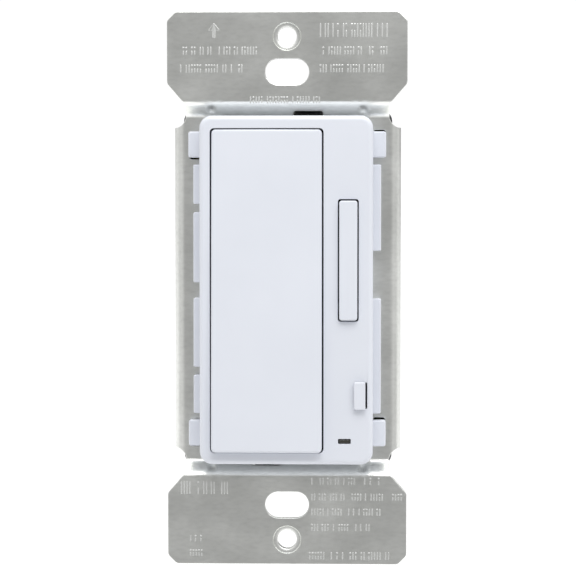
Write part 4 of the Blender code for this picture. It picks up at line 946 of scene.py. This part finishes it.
    def hidden_holes(self) -> list[Array]:
        """The holes under the face, round the pieces that pass through the strap.

        Returns:
            Outlines of the bores, of the four holes behind the snap tabs and of the one round the
            air-gap tab's stem.
        """
        outlines = []
        bores = [(f"{name}_plunger", self.plunger_bore) for name in ("paddle", "brighten", "dim")]
        bores.append(("light_pipe", self.pipe_bore))
        bores += [(f"{side}_transistor_screw", self.screw_bore) for side in ("left", "right")]
        bores += [(node, self.screw_bore) for node in self.parts.body if node.startswith("housing_screw")]
        for node, radius in bores:
            outlines.append(circle(self.parts.middle(node), radius, 24))
        for side in (1, -1):
            for end in (1, -1):
                snap = (side * self.snap[0], end * self.snap[1] + side * self.snap_shift)
                outlines.append(centred_box(snap, self.snap_half, 0.4, 4))
        outlines.append(centred_box(self.parts.middle("air_gap_tab"), self.foot_half, 0.3, 4))
        return outlines

    def lattice(self) -> Array:
        """Points inside the blank, where it bends.

        Returns:
            A grid that is close where the sheet is folded and wide elsewhere, and a fine one over
            each dent.
        """
        fold_end = self.flat_half + self.fold_radius * math.pi / 2
        u = np.concatenate((np.linspace(0.9, self.flat_half, 11),
                            np.linspace(self.flat_half, fold_end, 15)[1:],
                            np.linspace(fold_end, fold_end + 5.4, 5)[1:-1]))
        middle = (self.ear_start + self.middle_half) / 2
        v = np.concatenate((np.linspace(0.9, middle - 2.0, 16), np.linspace(middle - 1.9, middle + 1.9, 20),
                            np.linspace(middle + 2.0, self.half_height() - 0.7, 9)))
        u, v = np.concatenate((-u[::-1], u)), np.concatenate((-v[::-1], v))
        grids = [np.meshgrid(u, v)]
        fine_u = np.linspace(-1.25, 1.25, 14) * self.dent_half[0]
        fine_v = np.linspace(-1.0, 1.0, 16)
        for side in (-1, 1):
            for end in (-1, 1):
                dent = (side * self.dent_x, end * (self.ear_start - self.dent_below))
                grids.append(np.meshgrid(dent[0] + fine_u, dent[1] + fine_v))
        return np.concatenate([np.stack(grid, axis=-1).reshape(-1, 2) for grid in grids])

    def lugs(self) -> list[Solid]:
        """The lugs bent back over the ends of the housing.

        Returns:
            The upper and the lower lug; the lower one has the ground screw's hole.
        """
        made = []
        for end in (1, -1):
            low = min(end * self.lug_z[0], end * self.lug_z[1])
            middle = end * self.lug_x
            outline = rounded_box((middle - self.lug_half, self.lug_front),
                                  (middle + self.lug_half, self.lug_reach), 0.6, 6)
            rims = [Rim(outline, self.sheet_edge())]
            if end < 0:
                centre = self.parts.middle("ground_screw", (0, 1))
                rims.append(Rim(circle(centre, self.screw_bore, 32), self.sheet_edge(), hole=True))
            lug = Solid()
            lug.add_plate(rims)
            made.append(lug.placed(along_axis("Z", (0.0, 0.0), low, 1)))
        return made

    def build(self) -> None:
        """Builds the strap and its marks."""
        sheet = Solid()
        sheet.add_plate([Rim(self.blank(), self.sheet_edge()), *self.holes()], self.lattice())
        folded = sheet.placed(self.fold).joined(*self.lugs())
        Piece("strap_sheet", STRAP_ZINC, "mounting_strap").build(folded, self.parts)
        marks = Marks(front=-self.thickness, half_height=self.half_height()).solid()
        Piece("strap_marks", STAMPED, "mounting_strap", replaces=False).build(marks, self.parts)


@dataclass(frozen=True)
class MarkRow:
    """A row of stamped ticks: its ends, its distance from the strap's nearer end and its height."""

    left: float
    right: float
    from_end: float
    height: float
    lower: bool = False


@dataclass
class Marks:
    """Plain stamped ticks and an arrow in place of the ratings that such a strap carries."""

    front: float
    half_height: float
    height: float = 0.025
    stroke: float = 0.24
    seed: int = 7
    rows: tuple[MarkRow, ...] = (
        MarkRow(-20.4, -5.8, 7.5, 1.5), MarkRow(-20.4, -8.4, 10.9, 1.5), MarkRow(6.4, 19.2, 3.6, 2.6),
        MarkRow(6.4, 19.5, 7.5, 1.5), MarkRow(6.4, 18.4, 10.9, 1.5), MarkRow(-7.0, 6.6, 16.9, 1.3),
        MarkRow(4.8, 17.8, 16.2, 1.3, True), MarkRow(4.8, 22.0, 13.1, 1.3, True),
        MarkRow(4.8, 18.8, 10.2, 1.3, True), MarkRow(4.8, 16.2, 7.2, 1.3, True),
        MarkRow(4.4, 20.4, 1.7, 1.4, True), MarkRow(-20.4, -11.4, 14.8, 2.4, True),
        MarkRow(-19.2, -16.0, 5.0, 1.2, True), MarkRow(-19.2, -16.0, 2.2, 1.2, True),
    )

    def plate(self, low: tuple[float, float], high: tuple[float, float]) -> Solid:
        """One raised stroke with sloping sides."""
        return self.raised(rounded_box(low, high, 0.1, 2))

    def raised(self, outline: Array) -> Solid:
        """A raised mark.

        Args:
            outline: the mark's outline at its foot, counter-clockwise.

        Returns:
            The closed solid, with sloping sides and a foot just inside the sheet.
        """
        made = Solid()
        profile = np.array([(0.07, 0.0), (0.05, 0.0), (0.0, self.height), (0.0, self.height + 0.1)])
        made.add_plate([Rim(outline, profile)])
        return made.placed(facing_room(self.front - self.height))

    def arrow(self, centre: tuple[float, float], size: float) -> Array:
        """The outline of an arrow that points up, counter-clockwise."""
        shape = np.array([(-0.12, -0.5), (0.12, -0.5), (0.12, 0.0), (0.4, 0.0), (0.0, 0.5), (-0.4, 0.0),
                          (-0.12, 0.0)])
        return eased(shape * size + np.array(centre), 0.12, 3)

    def solid(self) -> Solid:
        """Every tick and the arrow.

        Returns:
            The arrow, and rows of uprights of two heights, now and then with a short bar above a gap.
        """
        draw = np.random.default_rng(self.seed)
        made = self.raised(self.arrow((-14.0, self.half_height - 3.6), 2.8))
        half = self.stroke / 2
        for row in self.rows:
            end = -1.0 if row.lower else 1.0
            middle = end * (self.half_height - row.from_end)
            at = row.left
            while at < row.right:
                kind = int(draw.integers(0, 6))
                low = middle - row.height / 2
                tall = row.height if kind < 3 else 0.5 * row.height
                if kind < 5:
                    made.joined(self.plate((at - half, low), (at + half, low + tall)))
                if kind in (3, 4):
                    bar = low + row.height
                    made.joined(self.plate((at - 1.6 * half, bar - self.stroke), (at + 1.6 * half, bar)))
                at += self.stroke * (2.0 if kind else 3.6) + 0.06
        return made


@dataclass
class Face:
    """The white face: a crowned shell with four windows, side rails and corner snap tabs."""

    parts: Parts
    half: float = 16.5
    tall: float = 33.2
    front: float = -6.8
    back: float = 1.5
    corner: float = 2.4
    crown: float = 0.95
    wall: float = 0.95
    front_wall: float = 1.6
    collar: float = 3.2
    rail_reach: float = 1.55
    tab_reach: float = 2.5
    rail_front: float = -0.9
    left_rails: tuple[tuple[float, float], ...] = (
        (16.4, 23.95), (1.3, 14.8), (-15.0, -1.7), (-23.95, -16.6),
    )
    right_rails: tuple[tuple[float, float], ...] = ((7.4, 23.95), (-23.95, -1.8))
    tab_z: tuple[float, float] = (25.3, 30.3)
    paddle_window: tuple[tuple[float, float], tuple[float, float]] = ((-14.5, -30.96), (7.1, 30.8))
    bar_window: tuple[tuple[float, float], tuple[float, float]] = ((9.83, -5.87), (13.77, 17.37))
    switch_window_x: tuple[float, float] = (13.4, 15.42)
    switch_window_half: float = 2.5
    light_window_half: tuple[float, float] = (1.2, 0.475)

    def windows(self) -> list[Array]:
        """The windows of the face.

        Returns:
            Outlines of the windows for paddle, bar, air-gap tab and indicator, in that order.
        """
        (left, right), half = self.switch_window_x, self.switch_window_half
        z = self.parts.middle("air_gap_tab")[1]
        return [
            rounded_box(*self.paddle_window, 0.8, 6),
            rounded_box(*self.bar_window, 0.5, 5),
            rounded_box((left, z - half), (right, z + half), 0.12, 3),
            centred_box(self.parts.middle("light_pipe"), self.light_window_half, 0.15, 4),
        ]

    def shell(self) -> Solid:
        """The shell with its windows.

        Returns:
            A solid whose rim runs over the crown, down the side, round the back edge and up inside.
        """
        depth = self.back - self.front
        outline = rounded_box((-self.half, -self.tall), (self.half, self.tall), self.corner, 12)
        inner = [(self.wall - 0.1, depth), (self.wall, depth - 0.1), (self.wall, self.front_wall)]
        rim = np.concatenate((round_over(self.crown, 9, 1.08), round_under(0.12, depth, 2)[:-1], inner))
        lips = (0.12, 0.12, 0.04, 0.1)
        collars = (self.collar, self.collar, self.front_wall, self.front_wall)
        rims = [Rim(resampled(outline, 4.0), rim)]
        for outline, lip, collar in zip(self.windows(), lips, collars):
            profile = np.concatenate((round_over(lip, 4), [[0.0, collar]]))
            if collar > self.front_wall:
                profile = np.concatenate((profile, [[0.6, collar], [0.6, self.front_wall]]))
            rims.append(Rim(resampled(outline, 4.0), profile, hole=True))
        made = Solid()
        made.add_plate(rims)
        return made.placed(facing_room(self.front))

    def rails(self) -> list[Solid]:
        """The pieces beside the shell.

        Returns:
            The rail segments and snap tabs of both sides, each a closed block.
        """
        made = []
        start = self.half - 0.45
        for side, spans in ((-1, self.left_rails), (1, self.right_rails)):
            for low, high in spans:
                xs = sorted((side * start, side * (self.half + self.rail_reach)))
                made.append(block((xs[0], self.rail_front, low), (xs[1], self.back, high), 0.2, 0.3))
            for end in (1, -1):
                low, high = sorted((end * self.tab_z[0], end * self.tab_z[1]))
                xs = sorted((side * start, side * (self.half + self.tab_reach)))
                made.append(block((xs[0], self.rail_front, low), (xs[1], self.back, high), 0.28, 0.45))
        return made

    def build(self) -> None:
        """Builds the face in one piece."""
        Piece("face_moulding", WHITE, "face_frame").build(self.shell().joined(*self.rails()), self.parts)


@dataclass
class Paddle:
    """The press paddle: a shallow crowned shell, turned out a little about its hinge."""

    parts: Parts
    low: tuple[float, float] = (-14.2, -30.85)
    high: tuple[float, float] = (6.8, 30.5)
    front: float = -7.0
    edge: float = 0.45
    corner: float = 0.8
    wall: float = 1.1
    plate: float = 1.5
    skirt: float = 4.8
    crown: float = 0.16
    hinge: tuple[float, float] = (-3.4, 27.85)
    tilt: float = math.radians(1.9)

    def place(self, p: Array) -> Array:
        """Crowns the front by a parabola across the width, and turns the piece about the hinge line.

        Args:
            p: rows of across, up and depth behind the front.

        Returns:
            The same points in the object's frame, in millimetres.
        """
        x, depth, z = p[:, 0], p[:, 2], p[:, 1]
        middle, half = (self.low[0] + self.high[0]) / 2, (self.high[0] - self.low[0]) / 2
        sag = self.crown * ((x - middle) / half) ** 2
        crowned = np.where(depth < self.plate, sag * (1 - depth / self.plate), 0.0)
        y = self.front + depth + crowned - self.hinge[0]
        z = z - self.hinge[1]
        cos, sin = math.cos(-self.tilt), math.sin(-self.tilt)
        return np.stack((x, self.hinge[0] + y * cos - z * sin, self.hinge[1] + y * sin + z * cos), axis=1)

    def build(self) -> None:
        """Builds the paddle with a rounded rim and an open back."""
        outline = resampled(rounded_box(self.low, self.high, self.corner, 8), 2.5)
        inner = [(self.wall, self.skirt), (self.wall, self.plate)]
        rim = np.concatenate((round_over(self.edge, 6), [[0.0, self.skirt]], inner))
        across = np.linspace(self.low[0], self.high[0], 15)
        u, v = np.meshgrid(across, np.linspace(self.low[1], self.high[1], 21))
        made = Solid()
        made.add_plate([Rim(outline, rim)], np.stack((u, v), axis=-1).reshape(-1, 2))
        Piece("paddle_moulding", WHITE, "paddle").build(made.placed(self.place), self.parts)


@dataclass
class DimmingBar:
    """The narrow bar that rocks about its middle."""

    parts: Parts
    centre: tuple[float, float] = (11.8, 5.75)
    half: tuple[float, float] = (1.72, 11.35)
    front: float = -7.9
    back: float = -4.4
    edge: float = 0.3
    crown: float = 0.08
    post_z: float = 9.0
    post_radius: float = 1.2
    post_gap: float = 0.3

    def place(self, p: Array) -> Array:
        """Crowns the front by a parabola across the width.

        Args:
            p: rows of across, up and depth behind the front.

        Returns:
            The same points in the object's frame, in millimetres.
        """
        sag = self.crown * ((p[:, 0] - self.centre[0]) / self.half[0]) ** 2
        depth = p[:, 2] + sag * np.clip(1 - p[:, 2], 0.0, 1.0)
        return np.stack((p[:, 0], self.front + depth, p[:, 1]), axis=1)

    def build(self) -> None:
        """Builds the bar's body and its two posts."""
        (x, z), (half_x, half_z) = self.centre, self.half
        outline = resampled(rounded_box((x - half_x, z - half_z), (x + half_x, z + half_z), 0.5, 6), 2.0)
        rim = np.concatenate((round_over(self.edge, 6), [[0.0, self.back - self.front]]))
        u, v = np.meshgrid(np.linspace(x - half_x, x + half_x, 9), np.linspace(z - half_z, z + half_z, 15))
        bar = Solid()
        bar.add_plate([Rim(outline, rim)], np.stack((u, v), axis=-1).reshape(-1, 2))
        made = bar.placed(self.place)
        end = float(self.parts.box("brighten_plunger")[0, 1]) - self.post_gap
        straight = np.array([(0.0, 0.0), (0.0, end - self.back)])
        for side in (1, -1):
            post = Solid()
            post.add_plate([Rim(circle((x, z + side * self.post_z), self.post_radius, 24), straight)])
            made.joined(post.placed(facing_room(self.back)))
        Piece("dimming_bar_moulding", WHITE, "dimming_bar").build(made, self.parts)


@dataclass
class AirGapTab:
    """The small tab that pulls out to cut the power: its neck and stem run back to a foot."""

    parts: Parts
    head_width: float = 2.2
    head_half: float = 2.65
    right: float = 15.08
    face: float = -6.8
    gap: float = 0.3
    neck_left: float = 13.75
    neck_half: float = 2.15
    neck_back: float = -5.2
    stem_half: tuple[float, float] = (0.6, 1.7)
    stem_front: float = -5.5
    foot_thickness: float = 1.5

    def build(self) -> None:
        """Builds the head, the neck, the stem and the foot."""
        low, high = self.parts.box("air_gap_tab")
        z = float(low[2] + high[2]) / 2
        left = self.right - self.head_width
        made = block((left, float(low[1]), z - self.head_half),
                     (self.right, self.face - self.gap, z + self.head_half), 0.24, 0.4)
        made.joined(block((self.neck_left, float(low[1]) + 0.5, z - self.neck_half),
                          (self.right, self.neck_back, z + self.neck_half), 0.1, 0.12))
        stem = float(low[0] + high[0]) / 2
        foot = float(high[1]) - self.foot_thickness
        half_x, half_z = self.stem_half
        made.joined(block((stem - half_x, self.stem_front, z - half_z),
                          (stem + half_x, foot + 0.3, z + half_z), 0.1, 0.12))
        foot_low = (float(low[0]), foot, float(low[2]))
        foot_high = (float(high[0]), float(high[1]), float(high[2]))
        made.joined(block(foot_low, foot_high, 0.2, 0.3))
        Piece("air_gap_tab_moulding", WHITE, "air_gap_tab").build(made, self.parts)


@dataclass
class Indicator:
    """The smoked tip of the light pipe in the face, and the pipe behind it."""

    parts: Parts
    half: tuple[float, float] = (1.05, 0.325)
    tip_depth: float = 2.0
    pipe_from: float = 1.8
    radius: float = 1.2

    def build(self) -> None:
        """Builds the flat tip and the round pipe in one piece."""
        low, high = self.parts.box("light_pipe")
        x, z = float(low[0] + high[0]) / 2, float(low[2] + high[2]) / 2
        front = float(low[1])
        made = block((x - self.half[0], front, z - self.half[1]),
                     (x + self.half[0], front + self.tip_depth, z + self.half[1]), 0.1, 0.2)
        pipe = Solid()
        length = float(high[1]) - front - self.pipe_from
        profile = np.concatenate((round_over(0.2, 3), round_under(0.2, length, 3)))
        pipe.add_plate([Rim(circle((x, z), self.radius, 32), profile)])
        made.joined(pipe.placed(facing_room(front + self.pipe_from)))
        Piece("light_pipe_lens", LENS, "light_pipe").build(made, self.parts)


class Drive(Enum):
    """The recess in a screw's head."""

    CROSS = "cross"
    COMBINATION = "cross and slot"


@dataclass
class Screw:
    """A pan-head screw, drawn from the middle of its head along its own axis."""

    node: str
    axis: str
    direction: int
    finish: Finish
    shank: float
    drive: Drive = Drive.COMBINATION

    def recess(self, radius: float) -> Array:
        """The outline of the recess.

        Args:
            radius: the head's radius.

        Returns:
            A cross, with one pair of arms longer where a blade fits too.
        """
        wide = 0.13 * radius + 0.12
        reach = 0.55 * radius
        long = 0.86 * radius if self.drive is Drive.COMBINATION else reach
        upper = [(wide, wide), (wide, reach), (-wide, reach), (-wide, wide), (-long, wide), (-long, -wide)]
        lower = [(-wide, -wide), (-wide, -reach), (wide, -reach), (wide, -wide), (long, -wide), (long, wide)]
        return eased(np.array(upper + lower), 0.12, 3)

    def build(self, parts: Parts) -> None:
        """Builds the head with its recess, the shank and its grooves.

        Args:
            parts: the record's bodies and slots.
        """
        low, high = parts.box(self.node)
        order = {"X": (1, 2, 0), "Y": (0, 2, 1), "Z": (0, 1, 2)}[self.axis]
        low, high = low[list(order)], high[list(order)]
        centre = (float(low[0] + high[0]) / 2, float(low[1] + high[1]) / 2)
        radius = float(high[0] - low[0]) / 2
        top, tip = (high[2], low[2]) if self.direction > 0 else (low[2], high[2])
        length = abs(float(top - tip))
        head = 0.58 * radius
        turns = np.arange(head + 0.5, length - 0.6, 0.35)
        grooves = np.stack((radius - self.shank + 0.12 * (np.arange(len(turns)) % 2), turns), axis=1)
        profile = np.concatenate((
            round_over(0.3 * radius, 6)[:-1], [[0.0, head - 0.08], [0.08, head]],
            [[radius - self.shank, head]], grooves,
            [[radius - self.shank, length - 0.5], [radius - 0.6 * self.shank, length]],
        ))
        deep = 0.55 * head
        sides = np.array([(0.04, 0.0), (0.0, 0.05), (-0.05, deep)])
        cross = Rim(self.recess(radius), sides, hole=True, floor=True)
        made = Solid()
        made.add_plate([Rim(circle((0.0, 0.0), radius, 40), profile), cross])
        start = float(top)
        Piece(f"{self.node}_turned", self.finish, self.node).build(
            made.placed(along_axis(self.axis, centre, start, -self.direction)), parts)


@dataclass
class EasedCopy:
    """A CAD node copied, merged, and given rounded edges."""

    node: str
    radius: float
    segments: int = 2
    sharp: float = 28.0

    def build(self, parts: Parts) -> bpy.types.Object:
        """Builds the copy with a Bevel, evaluates it and ties it to the node's body.

        Args:
            parts: the record's bodies and slots.

        Returns:
            The new object.
        """
        mesh = frame["nodes"][self.node].data.copy()
        shape = bmesh.new()
        shape.from_mesh(mesh)
        bmesh.ops.remove_doubles(shape, verts=shape.verts, dist=0.002 * MM)
        bmesh.ops.dissolve_limit(shape, angle_limit=math.radians(1.0), verts=shape.verts, edges=shape.edges)
        shape.to_mesh(mesh)
        shape.free()
        holder = bpy.data.objects.new(f"{self.node}_blank", mesh)
        bpy.context.scene.collection.objects.link(holder)
        bevel = holder.modifiers.new("Edges", "BEVEL")
        bevel.width = self.radius * MM
        bevel.segments = self.segments
        bevel.limit_method = "ANGLE"
        bevel.angle_limit = math.radians(35.0)
        bevel.use_clamp_overlap = True
        graph = bpy.context.evaluated_depsgraph_get()
        rounded = bpy.data.meshes.new_from_object(holder.evaluated_get(graph))
        bpy.data.objects.remove(holder)
        finish = SLOT_FINISHES[parts.slot[self.node]]
        return Piece(f"{self.node}_eased", finish, self.node, sharp=self.sharp).finish_object(rounded, parts)


# --- the whole --------------------------------------------------------------------------------------


@dataclass(frozen=True)
class Shade:
    """A direction in which the surround is darker."""

    direction: tuple[float, float, float]
    outer: float
    inner: float
    left: float

    def share(self, tree: bpy.types.NodeTree, where: bpy.types.NodeSocket) -> bpy.types.NodeSocket:
        """The share of light that is left, from 1 outside the shade to its own share at the middle.

        Args:
            tree: the world's node tree.
            where: the direction looked in.

        Returns:
            The share as a smooth step of the cosine between outer and inner.
        """
        ahead = tree.nodes.new("ShaderNodeVectorMath")
        ahead.operation = "DOT_PRODUCT"
        ahead.inputs[1].default_value = Vector(self.direction).normalized()
        ramp = tree.nodes.new("ShaderNodeMapRange")
        ramp.interpolation_type = "SMOOTHSTEP"
        ramp.inputs["From Min"].default_value = self.outer
        ramp.inputs["From Max"].default_value = self.inner
        ramp.inputs["To Min"].default_value = 1.0
        ramp.inputs["To Max"].default_value = self.left
        tree.links.new(where, ahead.inputs[0])
        tree.links.new(ahead.outputs["Value"], ramp.inputs["Value"])
        return ramp.outputs["Result"]


@dataclass
class Studio:
    """Pale floor, soft light from the upper right, and the camera."""

    lens: float = 146.3
    camera: tuple[float, float, float] = (0.0150, -0.4503, 0.0217)
    target: tuple[float, float, float] = (0.00015, 0.0, 0.0002)
    floor_z: float = -0.16
    floor_front: float = -0.05
    all_round: float = 0.62
    above: float = 1.2
    shades: tuple[Shade, ...] = (
        Shade((0.0, -1.0, 0.0), 0.70, 0.97, 0.50),
        Shade((0.55, 0.83, 0.0), 0.70, 0.98, 0.50),
        Shade((1.0, 0.0, 0.0), 0.30, 1.00, 0.85),
    )

    def aimed(self, made: bpy.types.Object, place: Iterable[float], target: Iterable[float]) -> None:
        """Puts an object at a place and turns its -Z towards a target."""
        made.location = Vector(place)
        made.rotation_euler = (Vector(target) - Vector(place)).to_track_quat("-Z", "Y").to_euler()

    def lamp(self, name: str, place: tuple[float, float, float], size: float, power: float) -> None:
        """A square soft light aimed at the device.

        Args:
            name: its name.
            place: where it stands, in metres.
            size: its side, in metres.
            power: its power in watts.
        """
        light = bpy.data.lights.new(name, "AREA")
        light.shape = "SQUARE"
        light.size = size
        light.energy = power
        made = bpy.data.objects.new(name, light)
        bpy.context.scene.collection.objects.link(made)
        self.aimed(made, place, (0.0, 0.0, 0.0))

    def room(self) -> None:
        """The world: white to the camera, and to surfaces a soft surround with darker directions.

        Its strength is an even part, plus a part that grows with the square of the height of the
        direction, times the share that each shade leaves.
        """
        world = bpy.data.worlds.new("studio")
        bpy.context.scene.world = world
        world.use_nodes = True
        tree = world.node_tree
        background = tree.nodes["Background"]
        background.inputs["Color"].default_value = (1.0, 1.0, 1.0, 1.0)
        where = tree.nodes.new("ShaderNodeTexCoord").outputs["Generated"]
        axes = tree.nodes.new("ShaderNodeSeparateXYZ")
        tree.links.new(where, axes.inputs["Vector"])
        square = self.product(tree, axes.outputs["Z"], axes.outputs["Z"])
        grow = tree.nodes.new("ShaderNodeMath")
        grow.operation = "MULTIPLY_ADD"
        grow.inputs[1].default_value = self.above
        grow.inputs[2].default_value = self.all_round
        tree.links.new(square, grow.inputs[0])
        strength = grow.outputs["Value"]
        for shade in self.shades:
            strength = self.product(tree, strength, shade.share(tree, where))
        choice = tree.nodes.new("ShaderNodeMix")
        choice.inputs["B"].default_value = 1.05
        sight = tree.nodes.new("ShaderNodeLightPath")
        tree.links.new(sight.outputs["Is Camera Ray"], choice.inputs["Factor"])
        tree.links.new(strength, choice.inputs["A"])
        tree.links.new(choice.outputs["Result"], background.inputs["Strength"])

    @staticmethod
    def product(tree: bpy.types.NodeTree, first: bpy.types.NodeSocket,
                second: bpy.types.NodeSocket) -> bpy.types.NodeSocket:
        """The product of two values.

        Args:
            tree: the node tree that both belong to.
            first: one value.
            second: the other.

        Returns:
            The socket of their product.
        """
        made = tree.nodes.new("ShaderNodeMath")
        made.operation = "MULTIPLY"
        tree.links.new(first, made.inputs[0])
        tree.links.new(second, made.inputs[1])
        return made.outputs["Value"]

    def floor(self) -> None:
        """A wide pale floor below the device."""
        mesh = bpy.data.meshes.new("floor")
        reach = 6.0
        corners = [(-reach, self.floor_front), (reach, self.floor_front), (reach, reach), (-reach, reach)]
        mesh.from_pydata([(x, y, self.floor_z) for x, y in corners], [], [(0, 1, 2, 3)])
        mesh.materials.append(PALE.material())
        made = bpy.data.objects.new("floor", mesh)
        bpy.context.scene.collection.objects.link(made)

    def build(self) -> None:
        """Builds the camera, the lights, the room and the floor."""
        lens = bpy.data.cameras.new("camera")
        lens.lens = self.lens
        lens.clip_start = 0.01
        lens.clip_end = 20.0
        made = bpy.data.objects.new("camera", lens)
        bpy.context.scene.collection.objects.link(made)
        self.aimed(made, self.camera, self.target)
        bpy.context.scene.camera = made
        bpy.context.scene.view_settings.view_transform = "Standard"
        self.room()
        self.floor()
        self.lamp("key", (0.55, -0.60, 0.60), 0.30, 1.2)
        self.lamp("top", (0.05, -0.45, 0.60), 0.40, 2.2)


class Dimmer:
    """The whole device, built sub-assembly by sub-assembly."""

    def __init__(self, record: dict) -> None:
        """Keeps the record's parts."""
        self.parts = Parts(record)

    def screws(self) -> list[Screw]:
        """Every screw of the device.

        Returns:
            The screws of the housing, the transistors, the three terminals and the ground.
        """
        housing = [node for node in self.parts.body if node.startswith("housing_screw")]
        transistors = [f"{side}_transistor_screw" for side in ("left", "right")]
        made = [Screw(node, "Y", 1, STEEL, 1.25) for node in housing]
        made += [Screw(node, "Y", 1, STEEL, 1.25, Drive.CROSS) for node in transistors]
        made += [Screw(f"{name}_terminal_screw", "X", 1, BRASS, 1.55) for name in ("line", "load")]
        made.append(Screw("traveler_terminal_screw", "X", -1, BRASS, 1.55))
        made.append(Screw("ground_screw", "Z", -1, GREEN_STEEL, 1.25))
        return made

    def build(self) -> None:
        """Builds the front, the screws, and an eased copy of every other node."""
        fronts = (Strap(self.parts), Face(self.parts), Paddle(self.parts), DimmingBar(self.parts),
                  AirGapTab(self.parts), Indicator(self.parts))
        for part in fronts:
            part.build()
        for screw in self.screws():
            screw.build(self.parts)
        done = {"mounting_strap", "face_frame", "paddle", "dimming_bar", "air_gap_tab", "light_pipe"}
        done |= {screw.node for screw in self.screws()}
        copies = {"rear_housing": EasedCopy("rear_housing", 0.5, 4, 8.0),
                  "actuator_carrier": EasedCopy("actuator_carrier", 0.15)}
        for node in self.parts.body:
            if node not in done:
                made = copies.get(node, EasedCopy(node, 0.08)).build(self.parts)
                if node == "paddle_return_spring":
                    self.squeezed(made)

    def squeezed(self, spring: bpy.types.Object) -> None:
        """Gives the spring's piece a copy of its mesh, so that the mesh is its own.

        Args:
            spring: the spring's piece.
        """
        low, high = self.parts.box("paddle_return_spring")
        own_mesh(spring)


def main() -> None:
    """Builds the groups, the studio and the device."""
    logging.basicConfig(level=logging.INFO, format="%(name)s %(message)s")
    for group in (moulded_group, brushed_group, plated_group):
        group()
    Studio().build()
    Dimmer(frame["record"]).build()


if __name__ == "__main__":
    main()
